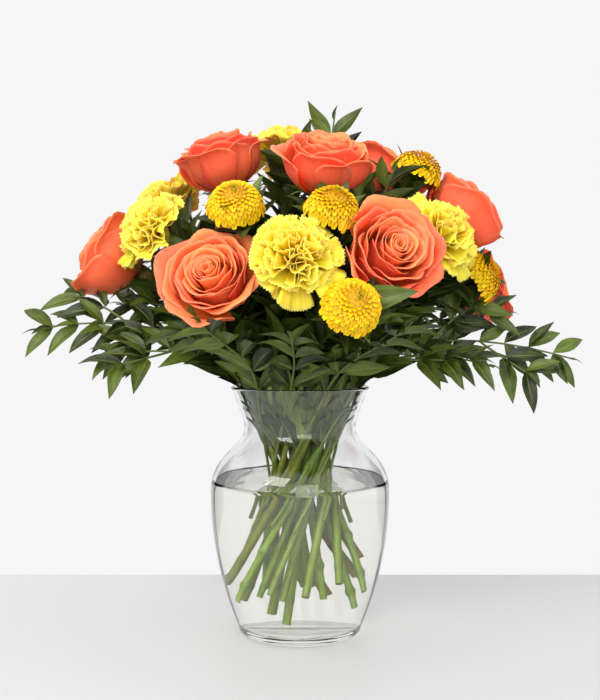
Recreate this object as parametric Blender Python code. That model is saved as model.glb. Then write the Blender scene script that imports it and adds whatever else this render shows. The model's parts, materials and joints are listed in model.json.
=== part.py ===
"""A mixed bouquet in a clear glass vase: roses, carnations, button chrysanthemums and ruscus.

The stems stand in water, cross at a waist just above its surface, as a hand-spun spiral bouquet
does, and fan out over the rim into a low dome. Units are metres, +Z is up, and the origin is the
centre of the vase's underside. The front of the bouquet faces -Y.
"""

import math
from dataclasses import dataclass, field
from itertools import combinations

import bmesh
import bpy
from mathutils import Matrix, Vector
from mathutils.bvhtree import BVHTree

# Vase
VASE_HEIGHT = 0.200
RIM_RADIUS = 0.057
NECK_RADIUS = 0.0455
NECK_HEIGHT = 0.165
BODY_RADIUS = 0.073
BODY_HEIGHT = 0.112
FOOT_RADIUS = 0.0485
HEEL = 0.004  # rounding between the foot and the wall
WALL = 0.003
FLOOR = 0.007
LIP = 0.0008  # the rim's rounding, in height
VASE_SIDES = 32
BODY_STEPS = 6
SHOULDER_STEPS = 5
COLLAR_STEPS = 3

# Water
WATER_LEVEL = 0.1235
TOUCH_GAP = 0.0003  # left between pieces that touch

# Bouquet: the reach of its outermost bloom and the rise of its highest one over the rim
SPREAD = 0.160
RISE = 0.200
WAIST_HEIGHT = 0.1235

# Stems
ROSE_STEM_RADIUS = 0.0030
CARNATION_STEM_RADIUS = 0.0025
BUTTON_STEM_RADIUS = 0.0023
RUSCUS_STEM_RADIUS = 0.0013
STEM_SIDES = 6
STEM_STEPS = 6
CUT_CLEARANCE = 0.0025  # between a cut end and the vase's floor or wall
CUT_STAGGER = 0.034  # the most that a stem is cut shorter than the longest that fits
SPRIG_DRAUGHT = 0.026  # how deep a sprig's cut end stands in the water
SPRIG_STAGGER = 0.018  # the most that a sprig stands less deep than that, or deeper, by half
WALL_SEARCH_STEP = 0.001
# How far a stem's bend reaches from its two ends, as shares of its way: the first that is clear
STEM_BENDS = ((0.35, 0.35), (0.25, 0.35), (0.35, 0.25), (0.5, 0.35), (0.35, 0.5), (0.2, 0.2), (0.5, 0.5))

# Blooms
ROSE_RADIUS = 0.035
ROSE_HEIGHT = 0.050
CARNATION_RADIUS = 0.0345
CARNATION_HEIGHT = 0.038
BUTTON_RADIUS = 0.0200
BUTTON_HEIGHT = 0.022
PART_STEP = 0.0005  # how far two blooms that meet are moved apart at a time
PART_ROUNDS = 200

# Ruscus
LEAF_LENGTH = 0.042
LEAF_WIDTH = 0.0155
LEAF_THICKNESS = 0.0010
LEAF_SPACING = 0.0200
LEAF_FOOT = 0.0028  # the length of stem that a pair of leaves grows from
LEAF_ANGLE = math.radians(44)  # between a leaf and its stem
LEAF_CLEARANCE = 0.0007
TIP_LENGTH = 0.018  # bare stem beyond the last pair
BARE_BELOW_RIM = 0.036  # where the first leaves grow
SHOOT_PAIRS = 2
SHOOT_ANGLE = math.radians(36)  # between a side shoot and its stem
SHOOT_EVERY = 2  # pairs of leaves from one side shoot to the next
RUSCUS_SIDES = 4
GOLDEN = (math.sqrt(5) - 1) / 2


# --- Shapes that several pieces use ---------------------------------------------------------


def eased(start, end, share):
    """Start to end as share goes from 0 to 1."""
    return start + (end - start) * share


def smooth(share):
    """0 to 1 with a flat start and end."""
    return share * share * (3 - 2 * share)


def bezier(a, b, c, d, t):
    """The point at t on the cubic curve from a to d."""
    s = 1 - t
    return a * s**3 + b * (3 * s * s * t) + c * (3 * s * t * t) + d * t**3


def turned(bm, profile, sides, lobes=0, depth=0.0):
    """A closed turned body. Profile runs from the bottom point on the axis to the top one, as
    (radius, height) pairs, and lobes waves of the given depth run round its rings."""
    rings = []
    for level, (radius, height) in enumerate(profile):
        if radius == 0:
            rings.append([bm.verts.new((0, 0, height))])
            continue
        ring = []
        for i in range(sides):
            angle = 2 * math.pi * i / sides
            r = radius * (1 + depth * math.cos(lobes * angle + level * math.pi / 2))
            ring.append(bm.verts.new((r * math.cos(angle), r * math.sin(angle), height)))
        rings.append(ring)
    for low, high in zip(rings, rings[1:]):
        for i in range(sides):
            j = (i + 1) % sides
            corners = [low[i % len(low)], low[j % len(low)], high[j % len(high)], high[i % len(high)]]
            bm.faces.new(list(dict.fromkeys(corners)))


def mesh_of(name, bm, sharp_angle=math.radians(40)):
    """A mesh of what bm holds, its faces pointing outwards and shaded smooth."""
    bmesh.ops.recalc_face_normals(bm, faces=bm.faces)
    mesh = bpy.data.meshes.new(name)
    bm.to_mesh(mesh)
    bm.free()
    mesh.shade_smooth()
    mesh.set_sharp_from_angle(angle=sharp_angle)
    return mesh


def placed(name, mesh, material, parent, location=(0, 0, 0), axis=None):
    """An object of that mesh at location, its local Z turned to axis."""
    obj = bpy.data.objects.new(name, mesh)
    bpy.context.scene.collection.objects.link(obj)
    obj.location = location
    if axis is not None:
        obj.rotation_mode = "QUATERNION"
        obj.rotation_quaternion = axis.to_track_quat("Z", "Y")
    if not mesh.materials:
        mesh.materials.append(material)
    obj.parent = parent
    return obj


def frames_along(points, side):
    """(point, tangent, side, up) at each point, the side vector carried along without twist from
    the last point, where it is as near to side as a square frame allows."""
    tangents = []
    for i in range(len(points)):
        before, after = points[max(i - 1, 0)], points[min(i + 1, len(points) - 1)]
        tangents.append((after - before).normalized())
    found = []
    for point, tangent in zip(reversed(points), reversed(tangents)):
        side = (side - tangent * side.dot(tangent)).normalized()
        found.append((point, tangent, side, side.cross(tangent)))
    return found[::-1]


def ring_at(bm, frame, radius, sides, origin):
    """A ring of vertices round a frame. With four sides its first face looks along the side."""
    point, _, side, up = frame
    ring = []
    for i in range(sides):
        angle = 2 * math.pi * (i - 0.5) / sides
        ring.append(bm.verts.new(point - origin + (side * math.cos(angle) + up * math.sin(angle)) * radius))
    return ring


def skin(bm, rings):
    """Faces between each ring and the next, and across the last one."""
    sides = len(rings[0])
    for low, high in zip(rings, rings[1:]):
        for i in range(sides):
            j = (i + 1) % sides
            bm.faces.new((low[i], low[j], high[j], high[i]))
    bm.faces.new(rings[-1])


def tube(bm, frames, radii, sides, origin):
    """A closed tube with a ring at each frame. Returns the rings."""
    rings = [ring_at(bm, f, r, sides, origin) for f, r in zip(frames, radii)]
    bm.faces.new(rings[0])
    skin(bm, rings)
    return rings


# --- Materials ------------------------------------------------------------------------------


def surface(name, colour, roughness, alpha=1.0, transmission=0.0, ior=1.45):
    """A Principled material."""
    material = bpy.data.materials.new(name)
    material.use_nodes = True
    shader = material.node_tree.nodes["Principled BSDF"]
    shader.inputs["Base Color"].default_value = (*colour, 1)
    shader.inputs["Roughness"].default_value = roughness
    shader.inputs["Metallic"].default_value = 0.0
    shader.inputs["Alpha"].default_value = alpha
    shader.inputs["Transmission Weight"].default_value = transmission
    shader.inputs["IOR"].default_value = ior
    material.diffuse_color = (*colour, alpha)
    return material


# --- Vase and water -------------------------------------------------------------------------


def outer_radius(height):
    """The vase's outer radius at a height: a body swelling from the foot, a shoulder drawn in to
    the neck, and a flared collar."""
    if height <= BODY_HEIGHT:
        return eased(FOOT_RADIUS, BODY_RADIUS, math.sin(math.pi / 2 * height / BODY_HEIGHT) ** 0.85)
    if height <= NECK_HEIGHT:
        share = (height - BODY_HEIGHT) / (NECK_HEIGHT - BODY_HEIGHT)
        return eased(BODY_RADIUS, NECK_RADIUS, smooth(share**1.55))
    share = (height - NECK_HEIGHT) / (VASE_HEIGHT - NECK_HEIGHT)
    return eased(NECK_RADIUS, RIM_RADIUS, share**1.4)


def inner_radius(height):
    """The vase's inner radius at a height."""
    return outer_radius(height) - WALL


def levels(low, high, steps):
    """Heights from low up to, but not including, high."""
    return [eased(low, high, i / steps) for i in range(steps)]


def wall_levels(low):
    """The heights of the wall's rings, from low to the rim."""
    return (
        levels(low, BODY_HEIGHT, BODY_STEPS)
        + levels(BODY_HEIGHT, NECK_HEIGHT, SHOULDER_STEPS)
        + levels(NECK_HEIGHT, VASE_HEIGHT - LIP, COLLAR_STEPS)
        + [VASE_HEIGHT - LIP]
    )


def facet_radius(height):
    """The radius of the inner wall's facets at a height between two of their rings."""
    heights = wall_levels(FLOOR + HEEL)
    low = max(z for z in heights if z <= height)
    high = min(z for z in heights if z > height)
    return eased(inner_radius(low), inner_radius(high), (height - low) / (high - low))


def inner_foot():
    """(radius, height) where the inner wall meets the floor's rounding."""
    return inner_radius(FLOOR + HEEL) - HEEL, FLOOR


def vase_mesh():
    """The blown glass: outer wall, rounded lip, inner wall and thick floor as one body."""
    outer = [(0, 0), (FOOT_RADIUS - HEEL / 2, 0)]
    outer += [(outer_radius(z), z) for z in wall_levels(HEEL)]
    lip = [(RIM_RADIUS - WALL / 2, VASE_HEIGHT)]
    inner = [(inner_radius(z), z) for z in reversed(wall_levels(FLOOR + HEEL))]
    inner += [inner_foot(), (0, FLOOR)]
    bm = bmesh.new()
    turned(bm, outer + lip + inner, VASE_SIDES)
    return mesh_of("vase", bm)


def water_mesh():
    """The water up to its level, the touching gap clear of the glass."""
    foot_radius, floor = inner_foot()
    profile = [(0, floor + TOUCH_GAP), (foot_radius - TOUCH_GAP, floor + TOUCH_GAP)]
    under = [z for z in wall_levels(FLOOR + HEEL) if z < WATER_LEVEL]
    profile += [(inner_radius(z) - TOUCH_GAP, z) for z in under]
    profile += [(facet_radius(WATER_LEVEL) - TOUCH_GAP, WATER_LEVEL), (0, WATER_LEVEL)]
    bm = bmesh.new()
    turned(bm, profile, VASE_SIDES)
    return mesh_of("water", bm)


# --- The spiral of stems --------------------------------------------------------------------


@dataclass(frozen=True)
class Ring:
    """Stems that lean alike round the axis, by their radius at the waist and at the rim's height."""

    waist: float
    rim: float

    @property
    def lean(self):
        """How far along its own slant a stem goes for each metre that it rises."""
        return math.sqrt(self.rim**2 - self.waist**2) / (VASE_HEIGHT - WAIST_HEIGHT)

    def point(self, slot, height):
        """Where the stem in the slot at that angle is at a height."""
        along = (height - WAIST_HEIGHT) * self.lean
        out = Vector((math.cos(slot), math.sin(slot), 0))
        return out * self.waist + Vector((-out.y, out.x, 0)) * along + Vector((0, 0, height))

    def lead(self):
        """The angle that a stem turns through from the waist to the rim."""
        return math.acos(self.waist / self.rim)


CORE = Ring(waist=0.0055, rim=0.014)
MIDDLE = Ring(waist=0.0132, rim=0.030)
OUTER = Ring(waist=0.0202, rim=0.0435)
SKIRT = Ring(waist=0.0255, rim=0.0505)


@dataclass
class Member:
    """One stem of the bouquet. Place and facing use shares of SPREAD across and back and of RISE
    up from the rim: place is the middle of a bloom, or the tip of a sprig."""

    name: str
    ring: Ring
    place: tuple
    facing: tuple
    roll: float = 0.0  # degrees that a sprig's leaf pairs are turned out of the level
    slot: float = 0.0
    shift: Vector = field(default_factory=Vector)  # how far it is moved to make room

    def spot(self):
        """The place in metres."""
        across, back, up = self.place
        return Vector((SPREAD * across, SPREAD * back, VASE_HEIGHT + RISE * up)) + self.shift

    def axis(self):
        """The way that it faces."""
        return Vector(self.facing).normalized()

    def azimuth(self):
        """Its direction from the vase's axis."""
        return math.atan2(self.place[1], self.place[0])


def give_slots(members):
    """Spreads the members of each ring evenly round the waist, in the order of their azimuths, so
    that no two stems of a ring cross."""
    for ring in (CORE, MIDDLE, OUTER, SKIRT):
        mates = sorted((m for m in members if m.ring == ring), key=Member.azimuth)
        turn = 2 * math.pi / len(mates)
        drift = sum(m.azimuth() - i * turn for i, m in enumerate(mates)) / len(mates)
        for i, mate in enumerate(mates):
            mate.slot = i * turn + drift - ring.lead()


def cut_height(member, radius, order):
    """The height of a stem's cut end: just clear of the floor and the wall, then cut a little
    shorter, by a different amount for each stem."""
    height = FLOOR + CUT_CLEARANCE + radius
    room = radius + CUT_CLEARANCE
    while member.ring.point(member.slot, height).xy.length > inner_radius(height) - room:
        height += WALL_SEARCH_STEP
    return height + CUT_STAGGER * (order * GOLDEN % 1)


def sprig_cut_height(order):
    """The height of a sprig's cut end, which stands only a little way into the water."""
    return WATER_LEVEL - SPRIG_DRAUGHT + SPRIG_STAGGER * (order * GOLDEN % 1 - 0.5)


def stem_route(member, end, heading, steps, bends=STEM_BENDS[0]):
    """Points from the rim to end: on along the stem's own slant, then round to the heading."""
    rim = member.ring.point(member.slot, VASE_HEIGHT)
    slant = (rim - member.ring.point(member.slot, WAIST_HEIGHT)).normalized()
    span = (end - rim).length
    first, last = rim + slant * (span * bends[0]), end - heading * (span * bends[1])
    return [bezier(rim, first, last, end, i / steps) for i in range(steps + 1)]


# --- Blooms ---------------------------------------------------------------------------------


def rose_mesh():
    """An opened rose: a cup of petals with a rolled lip round a raised heart."""
    r, h = ROSE_RADIUS, ROSE_HEIGHT
    profile = [(0, 0), (0.17 * r, 0), (0.55 * r, 0.12 * h), (0.80 * r, 0.38 * h), (0.93 * r, 0.70 * h)]
    profile += [(r, 0.86 * h), (0.84 * r, 0.94 * h), (0.55 * r, 0.88 * h), (0.30 * r, 0.97 * h), (0, h)]
    bm = bmesh.new()
    turned(bm, profile, 12, lobes=4, depth=0.05)
    return mesh_of("rose_bloom", bm)


def carnation_mesh():
    """A carnation: a ruffled dome over a skirt of spread petals."""
    r, h = CARNATION_RADIUS, CARNATION_HEIGHT
    profile = [(0, 0), (0.18 * r, 0), (0.60 * r, 0.12 * h), (0.95 * r, 0.22 * h), (r, 0.42 * h)]
    profile += [(0.90 * r, 0.68 * h), (0.58 * r, 0.92 * h), (0, h)]
    bm = bmesh.new()
    turned(bm, profile, 12, lobes=6, depth=0.05)
    return mesh_of("carnation_bloom", bm)


def button_mesh():
    """A button chrysanthemum: a shallow dome of packed florets."""
    r, h = BUTTON_RADIUS, BUTTON_HEIGHT
    profile = [(0, 0), (0.30 * r, 0), (0.88 * r, 0.12 * h), (r, 0.34 * h), (0.90 * r, 0.66 * h)]
    profile += [(0.52 * r, 0.93 * h), (0, h)]
    bm = bmesh.new()
    turned(bm, profile, 12)
    return mesh_of("button_bloom", bm)


@dataclass(frozen=True)
class Kind:
    """A kind of flower: its bloom, and the swelling at the top of its stem, as (radius, distance
    below the bloom) pairs from the bloom down."""

    bloom: bpy.types.Mesh
    middle: float  # from the foot of the bloom to its middle
    stem_radius: float
    swelling: tuple
    petals: bpy.types.Material
    green: bpy.types.Material


def rose_kind(petals, green):
    """Roses, on a hip."""
    hip = ((0.0050, 0), (0.0060, 0.005), (0.0040, 0.011))
    return Kind(rose_mesh(), 0.6 * ROSE_HEIGHT, ROSE_STEM_RADIUS, hip, petals, green)


def carnation_kind(petals, green):
    """Carnations, on a long tubular calyx."""
    calyx = ((0.0058, 0), (0.0066, 0.008), (0.0052, 0.021), (0.0034, 0.026))
    return Kind(carnation_mesh(), 0.5 * CARNATION_HEIGHT, CARNATION_STEM_RADIUS, calyx, petals, green)


def button_kind(petals, green):
    """Button chrysanthemums, on a flat cup of bracts."""
    bracts = ((0.0060, 0), (0.0052, 0.0035), (0.0028, 0.007))
    return Kind(button_mesh(), 0.5 * BUTTON_HEIGHT, BUTTON_STEM_RADIUS, bracts, petals, green)


def tree_of(bm):
    """What bm holds, for overlap tests."""
    return BVHTree.FromBMesh(bm, epsilon=0.0)


def is_clear(tree, others):
    """Whether the tree touches none of the others."""
    return not any(tree.overlap(other) for other in others)


def bloom_foot(member, kind):
    """Where the foot of a member's bloom is."""
    return member.spot() - member.axis() * kind.middle


def bloom_tree(member, kind):
    """A member's bloom in its place, for overlap tests."""
    bm = bmesh.new()
    bm.from_mesh(kind.bloom)
    turn = member.axis().to_track_quat("Z", "Y").to_matrix().to_4x4()
    bm.transform(Matrix.Translation(bloom_foot(member, kind)) @ turn)
    tree = tree_of(bm)
    bm.free()
    return tree


def part_blooms(flowers):
    """Moves apart the blooms that their sizes bring together, a little at a time, as they jostle
    in a hand-tied bouquet. Blooms that are clear of each other stay where they are.

    flowers is a list of (member, kind) pairs."""
    for _ in range(PART_ROUNDS):
        trees = [bloom_tree(member, kind) for member, kind in flowers]
        met = [pair for pair in combinations(range(len(trees)), 2) if trees[pair[0]].overlap(trees[pair[1]])]
        if not met:
            return
        for i, j in met:
            apart = (flowers[j][0].spot() - flowers[i][0].spot()).normalized() * PART_STEP
            flowers[i][0].shift = flowers[i][0].shift - apart
            flowers[j][0].shift = flowers[j][0].shift + apart


def flower_stem(member, kind, low, bends):
    """The points and the radii of a flower's stem, from its cut end up."""
    foot = bloom_foot(member, kind)
    neck = foot - member.axis() * (TOUCH_GAP + kind.swelling[-1][1])
    points = [member.ring.point(member.slot, low)]
    points += stem_route(member, neck, member.axis(), STEM_STEPS, bends)
    radii = [kind.stem_radius] * (len(points) - 1) + [kind.swelling[-1][0]]
    for radius, below in reversed(kind.swelling[:-1]):
        points.append(foot - member.axis() * (TOUCH_GAP + below))
        radii.append(radius)
    return points, radii


def stem_bmesh(points, radii, origin):
    """A flower's stem as a tube round its points, from that origin."""
    bm = bmesh.new()
    tube(bm, frames_along(points, Vector((1, 0, 0))), radii, STEM_SIDES, origin)
    return bm


def clear_stem(member, kind, low, obstacles):
    """The points and radii of the first stem that is clear of the obstacles, and its tree."""
    found = []
    for bends in STEM_BENDS:
        points, radii = flower_stem(member, kind, low, bends)
        bm = stem_bmesh(points, radii, Vector())
        found.append((points, radii, tree_of(bm)))
        bm.free()
        if is_clear(found[-1][2], obstacles):
            return found[-1]
    return found[0]


def make_flower(member, kind, order, parent, obstacles):
    """The bloom and the stem of one flower, the stem clear of the obstacles. Returns both objects,
    the height of the stem's cut end, and the stem's tree."""
    foot = bloom_foot(member, kind)
    bloom = placed(member.name + "_bloom", kind.bloom, kind.petals, parent, foot, member.axis())
    low = cut_height(member, kind.stem_radius, order)
    points, radii, tree = clear_stem(member, kind, low, obstacles)
    mesh = mesh_of(member.name + "_stem", stem_bmesh(points, radii, points[0]))
    stem = placed(member.name + "_stem", mesh, kind.green, parent, points[0])
    return bloom, stem, low, tree


# --- Ruscus ---------------------------------------------------------------------------------


def world_tree(obj):
    """The object in world space, for overlap tests."""
    bm = bmesh.new()
    bm.from_mesh(obj.data)
    bm.transform(obj.matrix_world)
    tree = tree_of(bm)
    bm.free()
    return tree


def leaf_points(foot, along, across, up, size, room=0.0):
    """A leaf as its widest ring and its tip, with that much room all round. It arches up from its
    foot and droops to its tip."""
    length = LEAF_LENGTH * size
    middle = foot + along * (0.45 * length) + up * (0.05 * length)
    edge = across * (LEAF_WIDTH * size / 2 + room)
    droop = up * LEAF_THICKNESS
    ring = (
        middle + edge - droop,
        middle + up * (LEAF_THICKNESS / 2 + room),
        middle - edge - droop,
        middle - up * (1.5 * LEAF_THICKNESS + room),
    )
    return ring, foot + along * (length + room) - up * (0.10 * length)


def nearest_order(ring, corners):
    """The order of a ring's four points, turned or reversed, that lies nearest the corners."""
    orders = [[(start + way * i) % 4 for i in range(4)] for start in range(4) for way in (1, -1)]
    return min(orders, key=lambda order: sum((ring[k] - c).length for k, c in zip(order, corners)))


def leaf_tree(corners, ring, tip):
    """A leaf from the corners of its foot to its tip, for overlap tests. Its quads are twisted, so
    both ways to fold each of them are in it."""
    faces = []
    for i in range(4):
        j = (i + 1) % 4
        quad = (i, j, j + 4, i + 4)
        faces += [quad[:3], quad[1:], (quad[0], quad[1], quad[3]), (quad[0], quad[2], quad[3])]
        faces.append((i + 4, j + 4, 8))
    return BVHTree.FromPolygons([*corners, *(ring[k] for k in nearest_order(ring, corners)), tip], faces)


def leaf_choices():
    """The ways to try a leaf: (turn round its stem, share of its full size), best first."""
    for share in (1.0, 0.82, 0.66):
        for turn in (0, 20, -20, 40, -40, 60, -60):
            yield math.radians(turn), share


def fitted_leaf(frame, corners, way, size, obstacles):
    """The first leaf on that side of the stem, way being 1 or -1, that is clear of the obstacles,
    as (ring, tip, a roomier leaf's tree), or None where the node stays bare."""
    _, tangent, side, up = frame
    middle = sum(corners, Vector()) / 4
    start = [middle.lerp(corner, 1.4) for corner in corners]
    for turn, share in leaf_choices():
        around = Matrix.Rotation(turn * way, 3, tangent)
        along = around @ (side * way) * math.sin(LEAF_ANGLE) + tangent * math.cos(LEAF_ANGLE)
        blade_up = (around @ up).normalized()
        across = along.cross(blade_up).normalized()
        blade = (middle, along, across, blade_up, size * share)
        tree = leaf_tree(start, *leaf_points(*blade, room=LEAF_CLEARANCE))
        if is_clear(tree, obstacles):
            return *leaf_points(*blade), tree
    return None


def open_onto(bm, face, ring):
    """Takes the face away and joins its edge to a ring of four vertices."""
    corners = list(face.verts)
    bm.faces.remove(face)
    order = nearest_order([v.co for v in ring], [v.co for v in corners])
    for i in range(4):
        j = (i + 1) % 4
        bm.faces.new((corners[i], corners[j], ring[order[j]], ring[order[i]]))


def grow_leaf(bm, face, ring, tip, origin):
    """Grows a leaf out of a face of the stem: the face opens into the widest ring and the tip."""
    blade = [bm.verts.new(p - origin) for p in ring]
    open_onto(bm, face, blade)
    point = bm.verts.new(tip - origin)
    for i in range(4):
        bm.faces.new((blade[i], blade[(i + 1) % 4], point))


def point_at(points, distance):
    """The point that far along a chain of points."""
    for a, b in zip(points, points[1:]):
        step = (b - a).length
        if distance <= step:
            return a.lerp(b, distance / step)
        distance -= step
    return points[-1]


def stations_of(nodes, tip):
    """Where a stem's rings are: two at each node, and one at its tip."""
    found = []
    for node in nodes:
        found += [node - LEAF_FOOT / 2, node + LEAF_FOOT / 2]
    return [*found, nodes[-1] + tip]


def stem_tree(frames, radius):
    """A sprig's bare stem at that radius, for overlap tests."""
    bm = bmesh.new()
    tube(bm, frames, [radius] * len(frames), RUSCUS_SIDES, Vector())
    tree = tree_of(bm)
    bm.free()
    return tree


def sprig_plan(member, start, scale, turn):
    """One way for a sprig to go: the stations of its rings, and their frames. Its tip is turned
    round the vase, and drawn in towards the rim."""
    rim = member.ring.point(member.slot, VASE_HEIGHT)
    around = Matrix.Rotation(turn, 3, "Z")
    heading = around @ member.axis()
    end = rim.lerp(around @ member.spot(), scale)
    route = [start, *stem_route(member, end, heading, 24)]
    length = sum((b - a).length for a, b in zip(route, route[1:]))
    first = (rim - start).length - BARE_BELOW_RIM
    pairs = int((length - first - TIP_LENGTH) / LEAF_SPACING)
    nodes = [length - TIP_LENGTH - LEAF_SPACING * i for i in reversed(range(pairs + 1))]
    level = heading.cross(Vector((0, 0, 1)))
    if level.length < 0.2:
        level = Vector((1, 0, 0))
    side = Matrix.Rotation(math.radians(member.roll), 3, heading) @ level.normalized()
    stations = [0.0, *stations_of(nodes, TIP_LENGTH)]
    return stations, frames_along([point_at(route, s) for s in stations], side)


def roomy_plan(member, start, obstacles):
    """The first plan whose stem is clear of the obstacles, straight on before turned aside."""
    for scale in (1.0, 0.88, 0.76, 0.64, 0.52):
        for turn in sorted(range(-30, 31, 3), key=abs):
            plan = sprig_plan(member, start, scale, math.radians(turn))
            if is_clear(stem_tree(plan[1], RUSCUS_STEM_RADIUS + 2 * LEAF_CLEARANCE), obstacles):
                return plan
    raise ValueError(member.name + " has no room")


def side_faces(rings, first):
    """The two faces, between a node's lower ring and its upper one, that leaves grow from, each as
    (way, its corners in order)."""
    low, high = rings[first], rings[first + 1]
    return [(way, [low[i], low[i + 1], high[i + 1], high[i]]) for way, i in ((1, 0), (-1, 2))]


def face_of(corners):
    """The face with those corners."""
    return next(f for f in corners[0].link_faces if set(f.verts) == set(corners))


def grow_pair(bm, rings, frames, first, size, origin, obstacles, ways=(1, -1)):
    """Grows a leaf on each of those sides of a node, where it has room."""
    for way, corners in side_faces(rings, first):
        if way not in ways:
            continue
        places = [v.co + origin for v in corners]
        found = fitted_leaf(frames[first], places, way, size, obstacles)
        if found:
            grow_leaf(bm, face_of(corners), *found[:2], origin)
            obstacles.append(found[2])


def shoot_frames(frame, foot, way, turn, share):
    """The frames of a side shoot's rings: out at an angle, then bending along with its stem."""
    _, tangent, side, up = frame
    around = Matrix.Rotation(turn * way, 3, tangent)
    out = around @ (side * way) * math.sin(SHOOT_ANGLE) + tangent * math.cos(SHOOT_ANGLE)
    spacing = LEAF_SPACING * share
    nodes = [spacing * (1.2 + i) for i in range(SHOOT_PAIRS)]
    stations = [spacing / 2, *stations_of(nodes, TIP_LENGTH / 2)]
    ahead = (out + tangent * 0.5 + Vector((0, 0, -0.25))).normalized()
    reach = stations[-1]
    end = foot + (out + ahead).normalized() * (reach * 0.98)
    route = [bezier(foot, foot + out * reach / 3, end - ahead * reach / 3, end, i / 12) for i in range(13)]
    return frames_along([point_at(route, s) for s in stations], ahead.cross(around @ up))


def grow_shoot(bm, rings, frames, first, way, origin, obstacles):
    """Grows a side shoot with its own leaf pairs on one side of a node. Returns whether it had
    room."""
    corners = dict(side_faces(rings, first))[way]
    foot = sum((v.co for v in corners), Vector()) / 4 + origin
    for share in (1.0, 0.85):
        for degrees in (0, 25, -25, 50, -50, 75, -75):
            found = shoot_frames(frames[first], foot, way, math.radians(degrees), share)
            from_foot = [(foot, *found[0][1:]), *found]
            if not is_clear(stem_tree(from_foot, RUSCUS_STEM_RADIUS + LEAF_CLEARANCE), obstacles):
                continue
            radii = [eased(0.75, 0.4, i / len(found)) * RUSCUS_STEM_RADIUS for i in range(len(found))]
            face = face_of(corners)
            shoot = [ring_at(bm, f, r, RUSCUS_SIDES, origin) for f, r in zip(found, radii)]
            open_onto(bm, face, shoot[0])
            skin(bm, shoot)
            own = stem_tree(found, RUSCUS_STEM_RADIUS + LEAF_CLEARANCE)
            for i in range(SHOOT_PAIRS):
                grow_pair(bm, shoot, found, 2 * i + 1, eased(0.9, 0.75, i / SHOOT_PAIRS), origin, obstacles)
            obstacles.append(own)
            return True
    return False


def make_sprig(member, plan, obstacles, green, parent):
    """One ruscus sprig: its stem, its leaf pairs and its side shoots, where they have room. Adds
    the leaves and shoots to the obstacles."""
    stations, frames = plan
    start = frames[0][0]
    radii = [RUSCUS_STEM_RADIUS * (1 - 0.5 * s / stations[-1]) for s in stations]
    bm = bmesh.new()
    rings = tube(bm, frames, radii, RUSCUS_SIDES, start)
    pairs = len(rings) // 2 - 1
    for i in range(pairs):
        way = 1 if i // SHOOT_EVERY % 2 else -1
        shooting = i % SHOOT_EVERY == 1 and 1 < i < pairs - 2
        if shooting and grow_shoot(bm, rings, frames, 2 * i + 1, way, start, obstacles):
            ways = (-way,)
        else:
            ways = (1, -1)
        size = eased(1.0, 0.78, ((i + 1) / pairs) ** 2)
        grow_pair(bm, rings, frames, 2 * i + 1, size, start, obstacles, ways)
    mesh = mesh_of(member.name, bm)
    return placed(member.name, mesh, green, parent, start)


# --- The bouquet's plan ---------------------------------------------------------------------

ROSES = (
    Member("rose_1", OUTER, (-0.388, -0.530, 0.434), (-0.30, -1.0, 0.35)),
    Member("rose_2", OUTER, (0.404, -0.625, 0.510), (0.25, -1.0, 0.28)),
    Member("rose_3", CORE, (0.130, -0.281, 0.893), (0.05, -0.60, 1.0)),
    Member("rose_4", CORE, (-0.394, -0.075, 0.930), (-0.35, -0.28, 1.0)),
    Member("rose_5", OUTER, (-1.000, 0.094, 0.535), (-1.0, -0.10, 0.55)),
    Member("rose_6", CORE, (0.437, 0.325, 0.890), (0.45, 0.20, 1.0)),
    Member("rose_7", MIDDLE, (0.856, 0.062, 0.712), (0.62, 0.10, 0.80)),
    Member("rose_8", OUTER, (0.987, 0.388, 0.440), (1.0, 0.35, 0.30)),
    Member("rose_9", OUTER, (-0.470, 0.625, 0.550), (-0.50, 0.80, 0.50)),
    Member("rose_10", OUTER, (0.510, 0.675, 0.575), (0.50, 0.80, 0.50)),
)
CARNATIONS = (
    Member("carnation_1", OUTER, (-0.006, -0.712, 0.500), (0.0, -1.0, 0.22)),
    Member("carnation_2", MIDDLE, (-0.723, -0.250, 0.630), (-0.65, -0.60, 0.45)),
    Member("carnation_3", MIDDLE, (-0.700, 0.238, 0.760), (-0.60, 0.30, 0.70)),
    Member("carnation_4", OUTER, (0.700, -0.312, 0.595), (0.55, -0.60, 0.58)),
    Member("carnation_5", CORE, (-0.080, 0.250, 0.980), (-0.05, 0.25, 1.0)),
    Member("carnation_6", OUTER, (0.012, 0.762, 0.500), (0.0, 1.0, 0.40)),
)
BUTTONS = (
    Member("button_1", MIDDLE, (-0.286, -0.530, 0.725), (-0.25, -0.75, 0.60)),
    Member("button_2", MIDDLE, (0.165, -0.550, 0.705), (0.10, -0.75, 0.65)),
    Member("button_3", OUTER, (0.250, -0.825, 0.352), (0.08, -1.0, 0.30)),
    Member("button_4", MIDDLE, (0.610, 0.000, 0.912), (0.50, -0.35, 0.80)),
    Member("button_5", OUTER, (0.944, -0.062, 0.465), (0.90, -0.40, 0.25)),
)
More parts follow.
